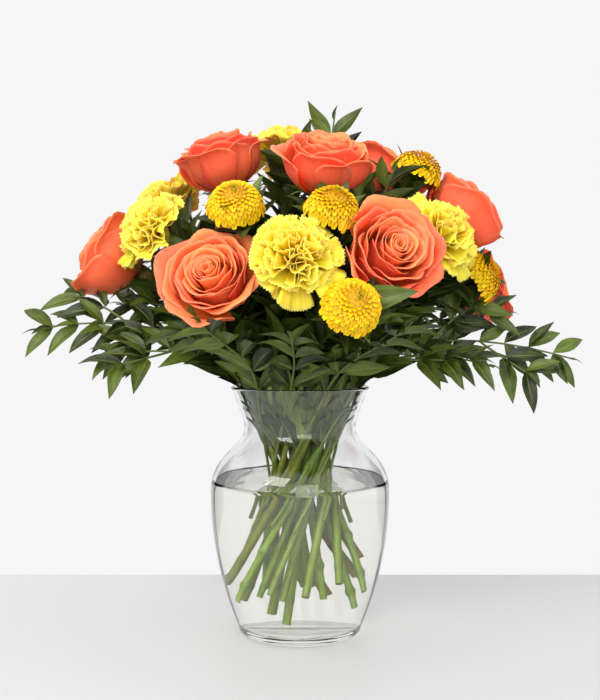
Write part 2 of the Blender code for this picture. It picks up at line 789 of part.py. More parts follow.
SPRIGS = (
    Member("ruscus_1", SKIRT, (1.39, -0.06, 0.11), (1.0, -0.05, -0.30), 62),
    Member("ruscus_2", SKIRT, (-1.35, -0.05, 0.23), (-1.0, 0.0, -0.20), -58),
    Member("ruscus_3", SKIRT, (0.92, -0.36, 0.09), (0.90, -0.45, -0.30), 30),
    Member("ruscus_4", SKIRT, (-0.98, -0.28, 0.12), (-1.0, -0.30, -0.25), -30),
    Member("ruscus_5", SKIRT, (1.08, 0.08, 0.30), (1.0, 0.05, 0.00), 50),
    Member("ruscus_6", MIDDLE, (-1.00, 0.05, 0.34), (-1.0, 0.05, 0.05), -45),
    Member("ruscus_7", SKIRT, (-0.46, -0.66, 0.27), (-0.45, -0.60, 0.60), 12),
    Member("ruscus_8", SKIRT, (-0.04, -0.72, 0.22), (-0.05, -0.80, 0.55), -10),
    Member("ruscus_9", SKIRT, (0.50, -0.62, 0.26), (0.50, -0.55, 0.60), -12),
    Member("ruscus_10", SKIRT, (-0.80, 0.62, 0.20), (-0.80, 0.60, -0.10), 25),
    Member("ruscus_11", SKIRT, (0.02, 0.98, 0.16), (0.0, 1.0, -0.15), 15),
    Member("ruscus_12", SKIRT, (0.84, 0.64, 0.20), (0.80, 0.60, -0.10), -25),
    Member("ruscus_13", MIDDLE, (0.18, 0.02, 1.12), (0.15, -0.05, 1.0), 10),
    Member("ruscus_14", MIDDLE, (-0.88, 0.00, 0.84), (-0.80, -0.10, 0.50), 30),
    Member("ruscus_15", MIDDLE, (0.46, -0.30, 0.86), (0.35, -0.45, 0.75), 0),
    Member("ruscus_16", MIDDLE, (0.28, 0.72, 0.74), (0.20, 0.60, 0.60), 0),
)


def channel(member, radius, low, hidden):
    """A cutter for the water, at least the touching gap wider than the stem that stands in it."""
    wide = (radius + TOUCH_GAP) / math.cos(math.pi / STEM_SIDES)
    bottom, top = low - 2 * TOUCH_GAP, WATER_LEVEL + 2 * wide
    points = [member.ring.point(member.slot, z) for z in (bottom, top)]
    bm = bmesh.new()
    tube(bm, frames_along(points, Vector((1, 0, 0))), [wide] * 2, STEM_SIDES, Vector())
    cutter = bpy.data.objects.new(member.name + "_channel", mesh_of(member.name + "_channel", bm))
    hidden.objects.link(cutter)
    cutter.hide_render = True
    cutter.display_type = "WIRE"


def main():
    """Builds the vase, the water, the flowers and the ruscus."""
    for obj in list(bpy.data.objects):
        bpy.data.objects.remove(obj)
    scene = bpy.context.scene
    glass = surface("clear_glass", (0.95, 0.97, 0.96), 0.02, transmission=1.0, ior=1.5)
    still_water = surface("water", (0.94, 0.97, 0.95), 0.0, transmission=1.0, ior=1.33)
    leaf_green = surface("ruscus_green", (0.045, 0.105, 0.025), 0.42)
    stem_green = surface("stem_green", (0.16, 0.26, 0.05), 0.5)
    kinds = {
        "rose": rose_kind(surface("rose_petal", (0.86, 0.17, 0.07), 0.6), stem_green),
        "carnation": carnation_kind(surface("carnation_petal", (0.90, 0.76, 0.12), 0.65), stem_green),
        "button": button_kind(surface("button_petal", (0.95, 0.56, 0.01), 0.6), stem_green),
    }
    bouquet = bpy.data.objects.new("bouquet", None)
    scene.collection.objects.link(bouquet)
    vase = placed("vase", vase_mesh(), glass, bouquet)
    water = placed("water", water_mesh(), still_water, bouquet)
    cutters = bpy.data.collections.new("channels")
    scene.collection.children.link(cutters)
    flowers = ROSES + CARNATIONS + BUTTONS
    give_slots(flowers + SPRIGS)
    pairs = [(member, kinds[member.name.split("_")[0]]) for member in flowers]
    part_blooms(pairs)
    made, stem_trees = [vase], []
    for order, (member, kind) in enumerate(pairs):
        blooms = [bloom_tree(*pair) for pair in pairs if pair[0] is not member]
        bloom, stem, low, tree = make_flower(member, kind, order, bouquet, blooms + stem_trees)
        stem_trees.append(tree)
        channel(member, kind.stem_radius, low, cutters)
        made += [bloom, stem]
    bpy.context.view_layer.update()
    obstacles = [world_tree(obj) for obj in made]
    plans = []
    for order, member in enumerate(SPRIGS):
        low = sprig_cut_height(order)
        plan = roomy_plan(member, member.ring.point(member.slot, low), obstacles)
        channel(member, RUSCUS_STEM_RADIUS, low, cutters)
        plans.append(plan)
        obstacles.append(stem_tree(plan[1], RUSCUS_STEM_RADIUS + LEAF_CLEARANCE))
    stems = len(obstacles) - len(plans)
    for order, (member, plan) in enumerate(zip(SPRIGS, plans)):
        own = obstacles.pop(stems + order)
        make_sprig(member, plan, obstacles, leaf_green, bouquet)
        obstacles.insert(stems + order, own)
    cut = water.modifiers.new("channels", "BOOLEAN")
    cut.operation = "DIFFERENCE"
    cut.operand_type = "COLLECTION"
    cut.collection = cutters


main()
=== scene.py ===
"""The looks of a mixed bouquet of cut flowers in a clear glass vase.

Every flower, stem, sprig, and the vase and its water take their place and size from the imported
frame. Units are metres, +Z is up, and the front of the bouquet faces -Y.
"""

from __future__ import annotations

import json
import logging
import math
from collections.abc import Collection, Iterable, Sequence
from dataclasses import dataclass, field
from enum import Enum
from functools import cache, partialmethod
from typing import Any

import bmesh
import bpy
import numpy as np
from mathutils import Matrix, Quaternion, Vector

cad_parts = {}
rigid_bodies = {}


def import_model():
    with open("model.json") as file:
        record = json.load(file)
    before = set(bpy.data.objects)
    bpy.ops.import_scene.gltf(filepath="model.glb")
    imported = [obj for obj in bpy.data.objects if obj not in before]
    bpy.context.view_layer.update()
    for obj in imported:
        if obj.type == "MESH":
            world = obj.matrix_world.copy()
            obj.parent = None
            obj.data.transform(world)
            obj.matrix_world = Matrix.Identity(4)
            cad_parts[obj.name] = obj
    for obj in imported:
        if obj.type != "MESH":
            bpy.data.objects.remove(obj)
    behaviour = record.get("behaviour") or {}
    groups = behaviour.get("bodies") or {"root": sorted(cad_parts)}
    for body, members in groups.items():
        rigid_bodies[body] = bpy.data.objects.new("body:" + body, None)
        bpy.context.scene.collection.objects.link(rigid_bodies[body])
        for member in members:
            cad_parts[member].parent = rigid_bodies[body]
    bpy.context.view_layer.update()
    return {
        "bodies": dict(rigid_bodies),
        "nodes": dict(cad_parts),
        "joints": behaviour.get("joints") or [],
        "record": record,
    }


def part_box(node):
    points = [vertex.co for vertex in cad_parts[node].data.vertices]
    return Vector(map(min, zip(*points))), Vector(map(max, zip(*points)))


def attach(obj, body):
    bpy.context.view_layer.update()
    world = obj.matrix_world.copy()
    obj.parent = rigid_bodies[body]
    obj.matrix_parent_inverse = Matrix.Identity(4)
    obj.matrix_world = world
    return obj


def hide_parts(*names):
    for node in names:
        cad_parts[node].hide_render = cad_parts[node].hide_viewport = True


LOG = logging.getLogger("bouquet")
ROOT = "root"
MERGE_DISTANCE = 1e-6
GOLDEN_ANGLE = math.pi * (3 - math.sqrt(5))
STEM_SIDES = 6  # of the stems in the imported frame
# Added to a piece's seed, so that each of its uses draws its own numbers
COLLAR_DRAWS = 500
FOLIAGE_DRAWS = 900
INSIDE_DRAWS = 70
WALL_DRAWS = 140


def srgb(red: float, green: float, blue: float) -> tuple[float, float, float, float]:
    """A screen colour, 0 to 255 a channel, as the linear colour that a shader takes.

    Args:
        red: The red channel.
        green: The green channel.
        blue: The blue channel.

    Returns:
        The linear colour with full alpha.
    """
    linear = []
    for channel in (red, green, blue):
        share = channel / 255
        linear.append(share / 12.92 if share <= 0.04045 else ((share + 0.055) / 1.055) ** 2.4)
    return (*linear, 1.0)


def eased(start: float, end: float, share: float) -> float:
    """Start to end as share goes from 0 to 1."""
    return start + (end - start) * share


# --- Node trees -----------------------------------------------------------------------------


class Value:
    """A number in a node tree, so that sums on it read as Python and add Math nodes."""

    def __init__(self, tree: Tree, socket: bpy.types.NodeSocket) -> None:
        """Wraps an output socket.

        Args:
            tree: The tree that the socket is in.
            socket: The output that gives the number.
        """
        self.tree = tree
        self.socket = socket

    def maths(self, operation: str, *others: Value | float) -> Value:
        """Adds a Math node on this value.

        Args:
            operation: The node's operation.
            *others: Its further inputs.

        Returns:
            The node's result.
        """
        return self.tree.maths(operation, self, *others)

    __add__ = partialmethod(maths, "ADD")
    __sub__ = partialmethod(maths, "SUBTRACT")
    __mul__ = partialmethod(maths, "MULTIPLY")
    __truediv__ = partialmethod(maths, "DIVIDE")
    __abs__ = partialmethod(maths, "ABSOLUTE")

    def __rsub__(self, other: float) -> Value:
        """Other less this."""
        return self.tree.maths("SUBTRACT", other, self)

    def clamped(self) -> Value:
        """This kept between 0 and 1."""
        return self.maths("MAXIMUM", 0.0).maths("MINIMUM", 1.0)

    def above(self, start: float, end: float) -> Value:
        """0 up to start, 1 from end, and straight between them."""
        return ((self - start) / (end - start)).clamped()


@dataclass
class Tree:
    """A node tree, and the one way that nodes are added to it."""

    nodes: bpy.types.NodeTree

    def feed(self, socket: bpy.types.NodeSocket, value: Any) -> None:
        """Links a value, a node's first output or a socket to an input, or sets a plain one."""
        if isinstance(value, Value):
            self.nodes.links.new(value.socket, socket)
        elif isinstance(value, bpy.types.Node):
            self.nodes.links.new(value.outputs[0], socket)
        elif isinstance(value, bpy.types.NodeSocket):
            self.nodes.links.new(value, socket)
        else:
            socket.default_value = value

    def node(
        self,
        kind: str,
        settings: dict[str, Any] | None = None,
        sockets: dict[str | int, Any] | None = None,
    ) -> bpy.types.Node:
        """Adds a node.

        Args:
            kind: The node's type.
            settings: Its properties, set before its sockets.
            sockets: Its inputs by name or number, as values or links.

        Returns:
            The node.
        """
        made = self.nodes.nodes.new(kind)
        for name, value in (settings or {}).items():
            setattr(made, name, value)
        for name, value in (sockets or {}).items():
            self.feed(made.inputs[name], value)
        return made

    def maths(self, operation: str, *values: Value | float) -> Value:
        """Adds a Math node on those values and gives its result."""
        made = self.node("ShaderNodeMath", {"operation": operation}, dict(enumerate(values)))
        return Value(self, made.outputs[0])

    def mixed(self, share: Value | float, first: Any, second: Any) -> bpy.types.NodeSocket:
        """The colour between first and second at that share."""
        made = self.node("ShaderNodeMix", {"data_type": "RGBA"}, {0: share, 6: first, 7: second})
        return made.outputs[2]


# --- Finishes -------------------------------------------------------------------------------


class Finish:
    """A material with one Principled shader, and the values that its nodes read."""

    def __init__(self, name: str, roughness: float, numbers: dict[str, float] | None = None) -> None:
        """Makes the material.

        Args:
            name: The material's name.
            roughness: The shader's roughness where no node varies it.
            numbers: Further numbers on the shader's own sockets.
        """
        self.material = bpy.data.materials.new(name)
        self.material.use_nodes = True
        self.tree = Tree(self.material.node_tree)
        self.shader = self.material.node_tree.nodes["Principled BSDF"]
        self.shader.inputs["Roughness"].default_value = roughness
        for socket, number in (numbers or {}).items():
            self.shader.inputs[socket].default_value = number

    def mark(self, name: str) -> Value:
        """A number stored on the piece's mesh."""
        made = self.tree.node("ShaderNodeAttribute", {"attribute_name": name})
        return Value(self.tree, made.outputs["Fac"])

    def place(self) -> bpy.types.NodeSocket:
        """The place on the piece, in metres."""
        return self.tree.node("ShaderNodeTexCoord").outputs["Object"]

    def height(self) -> Value:
        """The height over the table, in metres."""
        made = self.tree.node("ShaderNodeSeparateXYZ", sockets={0: self.place()})
        return Value(self.tree, made.outputs["Z"])

    def noise(self, vector: Any, scale: float, detail: float = 3.0) -> Value:
        """Cloudy noise from about 0.3 to 0.7 at a place."""
        made = self.tree.node(
            "ShaderNodeTexNoise", sockets={"Vector": vector, "Scale": scale, "Detail": detail}
        )
        return Value(self.tree, made.outputs[0])

    def joined(self, x: Value | float, y: Value | float, z: Value | float) -> bpy.types.NodeSocket:
        """Three numbers as a place for a texture."""
        return self.tree.node("ShaderNodeCombineXYZ", sockets={0: x, 1: y, 2: z}).outputs[0]

    def colour(self, socket: Any) -> None:
        """Feeds the base colour."""
        self.tree.feed(self.shader.inputs["Base Color"], socket)

    def toned(self, value: Value, colour: Any, hue: Value | float = 0.5) -> None:
        """Feeds the base colour, made brighter where value is over 1 and turned where hue isn't 0.5."""
        sockets = {"Hue": hue, "Value": value, "Color": colour}
        self.colour(self.tree.node("ShaderNodeHueSaturation", sockets=sockets))

    def rough(self, value: Value) -> None:
        """Feeds the roughness."""
        self.tree.feed(self.shader.inputs["Roughness"], value)

    def bumped(self, height: Value, depth: float) -> None:
        """Raises the surface by that depth, in metres, where height is 1."""
        made = self.tree.node(
            "ShaderNodeBump", sockets={"Strength": 1.0, "Distance": depth, "Height": height}
        )
        self.tree.feed(self.shader.inputs["Normal"], made)


@dataclass(frozen=True)
class PetalFinish:
    """Petals whose colour runs from their foot to their lip and from the heart outwards."""

    name: str
    foot: tuple[float, ...]
    lip: tuple[float, ...]
    heart: tuple[float, ...]
    reverse: tuple[float, ...]
    edge: tuple[float, ...]
    roughness: float
    vein_depth: float
    heart_reach: float = 0.5
    glow: float = 0.4

    def material(self) -> bpy.types.Material:
        """Builds the material.

        Returns:
            The material, which reads along, across, layer, reverse and shade from the mesh.
        """
        finish = Finish(
            self.name,
            self.roughness,
            {"Subsurface Weight": self.glow, "Subsurface Scale": 0.0012, "Specular IOR Level": 0.25},
        )
        tree = finish.tree
        along, across = finish.mark("along"), finish.mark("across")
        shade, layer = finish.mark("shade"), finish.mark("layer")
        veins = finish.noise(finish.joined(across * 11, along * 1.3, shade * 40), 1.0, 4.0)
        clouds = finish.noise(finish.joined(across * 1.5, along * 2.0, shade * 40), 1.0, 2.0)
        colour = tree.mixed(along.above(0.15, 0.85), self.foot, self.lip)
        # Inner layers take the heart colour. On the rose this lighter heart is partly its own colour and
        # partly painted light that lifts the shade between the furled inner petals.
        colour = tree.mixed(1 - layer.above(0.0, self.heart_reach), colour, self.heart)
        backs = finish.mark("reverse") * (layer.above(0.35, 0.95) * 0.55 + 0.35)
        colour = tree.mixed(backs, colour, self.reverse)
        # The last strip of each lip takes the edge colour: a paler lip, and on the rose also a painted sheen
        # where the rolled lip catches the light.
        colour = tree.mixed(along.above(0.93, 1.0) * 0.55, colour, self.edge)
        value = (shade - 0.5) * 0.16 + (veins - 0.5) * 0.40 + (clouds - 0.5) * 0.36 + 1
        finish.toned(value, colour, (shade - 0.5) * 0.016 + 0.5)
        finish.rough((veins - 0.5) * 0.2 + self.roughness)
        finish.bumped(veins, self.vein_depth)
        return finish.material


@dataclass(frozen=True)
class LeafFinish:
    """Half-glossy leaves with a pale midrib and fine veins that run along them."""

    name: str
    dark: tuple[float, ...]
    light: tuple[float, ...]
    rib: tuple[float, ...]
    roughness: float

    def material(self) -> bpy.types.Material:
        """Builds the material, which reads along, across and shade from the mesh."""
        finish = Finish(self.name, self.roughness, {"Specular IOR Level": 0.38})
        tree = finish.tree
        along, across, shade = finish.mark("along"), finish.mark("across"), finish.mark("shade")
        veins = finish.noise(finish.joined(across * 9, along * 1.1, shade * 60), 1.0, 3.0)
        clouds = finish.noise(finish.joined(across * 1.5, along * 3, shade * 60), 1.0, 2.0)
        tone = (shade * 0.75 + (clouds - 0.5) * 1.2 + (veins - 0.5) * 0.7).clamped()
        colour = tree.mixed(tone, self.dark, self.light)
        rib = 1 - abs(across).above(0.03, 0.13)
        colour = tree.mixed(rib * (1 - along * 0.6) * 0.6, colour, self.rib)
        finish.colour(colour)
        finish.rough((clouds - 0.5) * 0.35 + self.roughness)
        finish.bumped(veins * 0.5 + rib * -0.5, 0.0004)
        return finish.material


@dataclass(frozen=True)
class StemFinish:
    """Stems that turn from green above to yellower green in the water, some of them browner."""

    name: str
    above: tuple[float, ...]
    below: tuple[float, ...]
    brown: tuple[float, ...]
    water_level: float
    browning: float
    roughness: float = 0.45

    def material(self) -> bpy.types.Material:
        """Builds the material, which reads shade and joint from the mesh."""
        finish = Finish(self.name, self.roughness, {"Specular IOR Level": 0.45})
        tree = finish.tree
        shade, joint = finish.mark("shade"), finish.mark("joint")
        height = finish.height()
        stretched = tree.node(
            "ShaderNodeMapping", sockets={"Vector": finish.place(), "Scale": (900.0, 900.0, 90.0)}
        )
        streaks = finish.noise(stretched, 1.0, 4.0)
        patches = finish.noise(finish.place(), 45.0, 3.0)
        wet = 1 - height.above(self.water_level - 0.01, self.water_level + 0.06)
        colour = tree.mixed(wet, self.above, self.below)
        brown = ((shade - 0.45) * 2.2).clamped() * self.browning + (patches - 0.55) * 0.8
        colour = tree.mixed(brown.clamped(), colour, self.brown)
        finish.toned((streaks - 0.5) * 0.8 + joint * -0.25 + 1, colour)
        finish.rough((streaks - 0.5) * 0.3 + self.roughness)
        finish.bumped(streaks, 0.0002)
        return finish.material


@dataclass(frozen=True)
class ClearFinish:
    """Clear glass or water that lets lamps shine through it."""

    name: str
    tint: tuple[float, ...]
    ior: float
    shadow: float
    ripple: float = 0.0

    def material(self) -> bpy.types.Material:
        """Builds the material, whose shadow rays pass straight through."""
        finish = Finish(self.name, 0.0, {"Transmission Weight": 1.0, "IOR": self.ior})
        finish.colour(self.tint)
        if self.ripple:
            finish.bumped(finish.noise(finish.place(), 28.0, 1.0), self.ripple)
        tree = finish.tree
        path = tree.node("ShaderNodeLightPath")
        open_way = tree.node(
            "ShaderNodeBsdfTransparent", sockets={"Color": (self.shadow, self.shadow, self.shadow, 1)}
        )
        mix = tree.node(
            "ShaderNodeMixShader",
            sockets={0: path.outputs["Is Shadow Ray"], 1: finish.shader, 2: open_way},
        )
        output = finish.material.node_tree.nodes["Material Output"]
        tree.feed(output.inputs["Surface"], mix)
        return finish.material


@dataclass(frozen=True)
class PlainFinish:
    """An even matt finish with a faint cloudiness."""

    name: str
    tint: tuple[float, ...]
    roughness: float

    def material(self) -> bpy.types.Material:
        """Builds the material."""
        finish = Finish(self.name, self.roughness)
        clouds = finish.noise(finish.place(), 3.0, 2.0)
        finish.toned((clouds - 0.5) * 0.03 + 1, self.tint)
        return finish.material


# --- Reading the frame ----------------------------------------------------------------------


def merged(frame: dict[str, Any], node: str) -> bmesh.types.BMesh:
    """A copy of a node's mesh with its loose triangles joined."""
    bm = bmesh.new()
    bm.from_mesh(frame["nodes"][node].data)
    bmesh.ops.remove_doubles(bm, verts=bm.verts, dist=MERGE_DISTANCE)
    return bm


def centre_of(verts: Collection[bmesh.types.BMVert]) -> Vector:
    """The mean place of some vertices."""
    return sum((v.co for v in verts), Vector()) / len(verts)


@cache
def rim_height() -> float:
    """The height of the vase's rim."""
    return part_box("vase")[1][2]


@dataclass(frozen=True)
class Seat:
    """Where a bloom sits: its foot, the way that it faces, its height and its radius."""

    foot: Vector
    axis: Vector
    height: float
    radius: float

    @classmethod
    def of(cls, frame: dict[str, Any], flower: str) -> Seat:
        """Reads the seat of a flower's bloom.

        Args:
            frame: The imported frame.
            flower: The flower's name.

        Returns:
            Its seat.
        """
        stem = merged(frame, flower + "_stem")
        below = centre_of(stem.verts)
        stem.free()
        bm = merged(frame, flower + "_bloom")
        poles = sorted(bm.verts, key=lambda v: -len(v.link_edges))[:2]
        foot, top = (v.co.copy() for v in sorted(poles, key=lambda v: (v.co - below).length))
        axis = (top - foot).normalized()
        radius = max((v.co - foot).cross(axis).length for v in bm.verts)
        bm.free()
        return cls(foot, axis, (top - foot).length, radius)

    def matrix(self, spin: float) -> Matrix:
        """The turn and move from a bloom built round +Z to its place, spun by that angle."""
        turn = self.axis.to_track_quat("Z", "Y") @ Quaternion((0, 0, 1), spin)
        return Matrix.Translation(self.foot) @ turn.to_matrix().to_4x4()


def stem_chain(frame: dict[str, Any], node: str) -> tuple[list[Vector], list[float]]:
    """The centres and radii of the rings of a node's stem, from its cut end up."""
    bm = merged(frame, node)
    layer = sorted(bm.verts, key=lambda v: v.co.z)[:STEM_SIDES]
    seen = set(layer)
    centres, radii = [], []
    while layer:
        centre = centre_of(layer)
        centres.append(centre)
        radii.append(sum((v.co - centre).length for v in layer) / len(layer))
        layer = [v for v in {e.other_vert(v) for v in layer for e in v.link_edges} if v not in seen]
        seen.update(layer)
    bm.free()
    return centres, radii


@dataclass(frozen=True)
class LeafSeat:
    """Where a leaf grows, the way it points and faces, and its length and width."""

    foot: Vector
    direction: Vector
    facing: Vector
    length: float
    width: float

    @classmethod
    def leaning(
        cls, foot: Vector, out: Vector, axis: Vector, tilt: float, length: float, width: float
    ) -> LeafSeat:
        """The seat of a leaf that leans outwards from an axis.

        Args:
            foot: Where it grows.
            out: The way out from the axis.
            axis: The way along the axis.
            tilt: How far it leans from the axis.
            length: Its length.
            width: Its width.

        Returns:
            The seat.
        """
        direction = out * math.sin(tilt) + axis * math.cos(tilt)
        facing = axis * math.sin(tilt) - out * math.cos(tilt)
        return cls(foot, direction, facing, length, width)

    @classmethod
    def upright(cls, foot: Vector, direction: Vector, out: Vector, length: float, width: float) -> LeafSeat:
        """The seat of a leaf that turns its face from that way out."""
        facing = (direction * out.dot(direction) - out).normalized()
        return cls(foot, direction, facing, length, width)


# --- Mesh building --------------------------------------------------------------------------


def mesh_of(
    name: str, points: Iterable[Any], edges: Iterable[Any] = (), faces: Iterable[Any] = ()
) -> bpy.types.Mesh:
    """A mesh of those points, edges and faces."""
    mesh = bpy.data.meshes.new(name)
    mesh.from_pydata([tuple(p) for p in points], list(edges), list(faces))
    return mesh


def smooth_mesh(bm: bmesh.types.BMesh, name: str) -> bpy.types.Mesh:
    """A smooth mesh of what was built, which is freed."""
    mesh = bpy.data.meshes.new(name)
    bm.to_mesh(mesh)
    bm.free()
    mesh.shade_smooth()
    return mesh


def store(mesh: bpy.types.Mesh, mark: str, values: Any, kind: str = "FLOAT") -> None:
    """Stores a number, or a vector, on each point of a mesh."""
    layer = mesh.attributes.new(mark, kind, "POINT")
    numbers = np.asarray(values, np.float32).ravel()
    layer.data.foreach_set("value" if kind == "FLOAT" else "vector", numbers)


def object_of(data: bpy.types.ID, name: str) -> bpy.types.Object:
    """An object of that mesh, lamp or camera in the scene."""
    obj = bpy.data.objects.new(name, data)
    bpy.context.scene.collection.objects.link(obj)
    return obj


@dataclass
class Sheets:
    """Thin curved sheets gathered into one mesh, with what their finish reads from them."""

    thickness: float
    points: list[np.ndarray] = field(default_factory=list)
    faces: list[np.ndarray] = field(default_factory=list)
    marks: dict[str, list[np.ndarray]] = field(default_factory=dict)
    count: int = 0

    def add(self, grid: np.ndarray, layer: float, shade: float) -> None:
        """Adds one sheet with its wall and its rim.

        Args:
            grid: Its middle surface, as points across by points along by 3.
            layer: 0 at the heart of the bloom to 1 at its outside.
            shade: The sheet's own random share.
        """
        across, along = grid.shape[:2]
        normal = np.cross(np.gradient(grid, axis=0), np.gradient(grid, axis=1))
        normal /= np.maximum(np.linalg.norm(normal, axis=2, keepdims=True), 1e-12)
        half = normal * self.thickness / 2
        index = np.arange(across * along).reshape(across, along)
        front = index + self.count
        back = front + across * along
        self.points += [(grid + half).reshape(-1, 3), (grid - half).reshape(-1, 3)]
        quads = (front[:-1, :-1], front[1:, :-1], front[1:, 1:], front[:-1, 1:])
        self.faces.append(np.stack(quads, -1).reshape(-1, 4))
        quads = (back[:-1, 1:], back[1:, 1:], back[1:, :-1], back[:-1, :-1])
        self.faces.append(np.stack(quads, -1).reshape(-1, 4))
        for a, b in (
            (front[:, 0], back[:, 0]),
            (back[:, -1], front[:, -1]),
            (back[0], front[0]),
            (front[-1], back[-1]),
        ):
            self.faces.append(np.stack((b[:-1], b[1:], a[1:], a[:-1]), -1))
        u, v = np.meshgrid(np.linspace(-1, 1, across), np.linspace(0, 1, along), indexing="ij")
        ones = np.ones(across * along)
        for name, side, other in (
            ("across", u.ravel(), u.ravel()),
            ("along", v.ravel(), v.ravel()),
            ("reverse", ones, ones * 0),
            ("layer", ones * layer, ones * layer),
            ("shade", ones * shade, ones * shade),
        ):
            self.marks.setdefault(name, []).extend((side, other))
        self.count += 2 * across * along

    def mesh(self, name: str, matrix: Matrix) -> bpy.types.Mesh:
        """The sheets as one smooth mesh.

        Args:
            name: The mesh's name.
            matrix: What moves the points to their place.

        Returns:
            The mesh.
        """
        move = np.array(matrix)
        points = np.concatenate(self.points) @ move[:3, :3].T + move[:3, 3]
        mesh = mesh_of(name, points.tolist(), faces=np.concatenate(self.faces).tolist())
        for mark, values in self.marks.items():
            store(mesh, mark, np.concatenate(values))
        mesh.shade_smooth()
        mesh.update()
        return mesh


def revolved(name: str, profile: Sequence[tuple[float, float]], sides: int) -> bpy.types.Mesh:
    """A closed body turned from a profile that starts and ends on the axis.

    Args:
        name: The mesh's name.
        profile: Its radius and height pairs, in order.
        sides: The number of sides.

    Returns:
        The mesh, smooth and facing outwards.
    """
    bm = bmesh.new()
    rings = []
    for radius, height in profile:
        count = sides if radius > 0 else 1
        angles = (2 * math.pi * i / count for i in range(count))
        rings.append([bm.verts.new((radius * math.cos(a), radius * math.sin(a), height)) for a in angles])
    for low, high in zip(rings, rings[1:], strict=False):
        for i in range(sides):
            j = (i + 1) % sides
            corners = [low[i % len(low)], low[j % len(low)], high[j % len(high)], high[i % len(high)]]
            bm.faces.new(list(dict.fromkeys(corners)))
    bmesh.ops.recalc_face_normals(bm, faces=bm.faces)
    return smooth_mesh(bm, name)


def curved(points: Sequence[tuple[float, float]], steps: int) -> list[tuple[float, float]]:
    """A smooth line through points in a plane, with that many steps between each two."""
    ends = [points[0], *points, points[-1]]
    found = []
    for before, a, b, after in zip(ends, ends[1:], ends[2:], ends[3:], strict=False):
        for step in range(steps):
            t = step / steps
            found.append(
                tuple(
                    0.5
                    * (
                        2 * a[k]
                        + (b[k] - before[k]) * t
                        + (2 * before[k] - 5 * a[k] + 4 * b[k] - after[k]) * t**2
                        + (3 * a[k] - before[k] - 3 * b[k] + after[k]) * t**3
                    )
                    for k in (0, 1)
                )
            )
    return [*found, points[-1]]


def rounded(
    centre: tuple[float, float], reach: tuple[float, float], start: float, end: float, steps: int = 6
) -> list[tuple[float, float]]:
    """Points on a round corner.

    Args:
        centre: The radius and height of its centre.
        reach: How far it reaches across and up.
        start: The angle of its first point, in degrees from outwards.
        end: The angle of its last point.
        steps: The steps between them.

    Returns:
        Its points.
    """
    angles = [math.radians(eased(start, end, i / steps)) for i in range(steps + 1)]
    return [(centre[0] + reach[0] * math.cos(a), centre[1] + reach[1] * math.sin(a)) for a in angles]


# --- Geometry trees -------------------------------------------------------------------------


class GeometryTree:
    """A node tree for a modifier, with named inputs."""

    def __init__(self, name: str, inputs: dict[str, str]) -> None:
        """Starts the tree with its inputs.

        Args:
            name: The tree's name.
            inputs: Its inputs, name to socket type, after the geometry.
        """
        self.group = bpy.data.node_groups.new(name, "GeometryNodeTree")
        self.tree = Tree(self.group)
        face = self.group.interface
        face.new_socket("Geometry", in_out="INPUT", socket_type="NodeSocketGeometry")
        self.sockets = {
            title: face.new_socket(title, in_out="INPUT", socket_type=kind).identifier
            for title, kind in inputs.items()
        }
        face.new_socket("Geometry", in_out="OUTPUT", socket_type="NodeSocketGeometry")
        self.given = self.tree.node("NodeGroupInput").outputs

    def named(self, name: str, kind: str = "FLOAT") -> bpy.types.NodeSocket:
        """A stored number or vector of the geometry."""
        made = self.tree.node("GeometryNodeInputNamedAttribute", {"data_type": kind}, {"Name": name})
        return next(s for s in made.outputs if s.enabled and s.name == "Attribute")

    def random(self, low: float, high: float, seed: Any) -> bpy.types.NodeSocket:
        """A random number for each element."""
        made = self.tree.node("FunctionNodeRandomValue", {"data_type": "FLOAT"}, {2: low, 3: high})
        self.tree.feed(made.inputs["Seed"], seed)
        return next(s for s in made.outputs if s.enabled)

    def ends_in(self, geometry: Any) -> None:
        """Realises, smooths and dresses the geometry, and gives it out."""
        real = self.tree.node("GeometryNodeRealizeInstances", sockets={"Geometry": geometry})
        smooth = self.tree.node("GeometryNodeSetShadeSmooth", sockets={"Geometry": real})
        dressed = self.tree.node(
            "GeometryNodeSetMaterial",
            sockets={"Geometry": smooth, "Material": self.given["Material"]},
        )
        self.tree.node("NodeGroupOutput", sockets={0: dressed})

    def applied(self, obj: bpy.types.Object, values: dict[str, Any]) -> bpy.types.Object:
        """Runs the tree on an object and keeps the result as its plain mesh.

        Args:
            obj: The object with the tree's geometry.
            values: The tree's inputs by name.

        Returns:
            The object.
        """
        modifier = obj.modifiers.new(self.group.name, "NODES")
        modifier.node_group = self.group
        for title, value in values.items():
            modifier[self.sockets[title]] = value
        obj.update_tag()
        graph = bpy.context.evaluated_depsgraph_get()
        mesh = bpy.data.meshes.new_from_object(obj.evaluated_get(graph))
        obj.modifiers.remove(modifier)
        old, obj.data = obj.data, mesh
        bpy.data.meshes.remove(old)
        mesh.name = obj.name
        return obj


class TubeTree(GeometryTree):
    """Turns chains of points into round stems, as thick as the points say."""

    def __init__(self) -> None:
        """Builds the tree."""
        super().__init__(
            "tubes",
            {"Sides": "NodeSocketInt", "Step": "NodeSocketFloat", "Material": "NodeSocketMaterial"},
        )
        tree = self.tree
        curve = tree.node("GeometryNodeMeshToCurve", sockets={0: self.given["Geometry"]})
        spline = tree.node("GeometryNodeCurveSplineType", {"spline_type": "CATMULL_ROM"}, {0: curve})
        even = tree.node(
            "GeometryNodeResampleCurve", {"mode": "LENGTH"}, {0: spline, "Length": self.given["Step"]}
        )
        sized = tree.node(
            "GeometryNodeSetCurveRadius", sockets={0: even, "Radius": self.named("thickness")}
        )
        ring = tree.node(
            "GeometryNodeCurvePrimitiveCircle", sockets={"Resolution": self.given["Sides"], "Radius": 1.0}
        )
        tube = tree.node(
            "GeometryNodeCurveToMesh",
            sockets={0: sized, "Profile Curve": ring, "Scale": self.named("thickness"), "Fill Caps": True},
        )
        self.ends_in(tube)


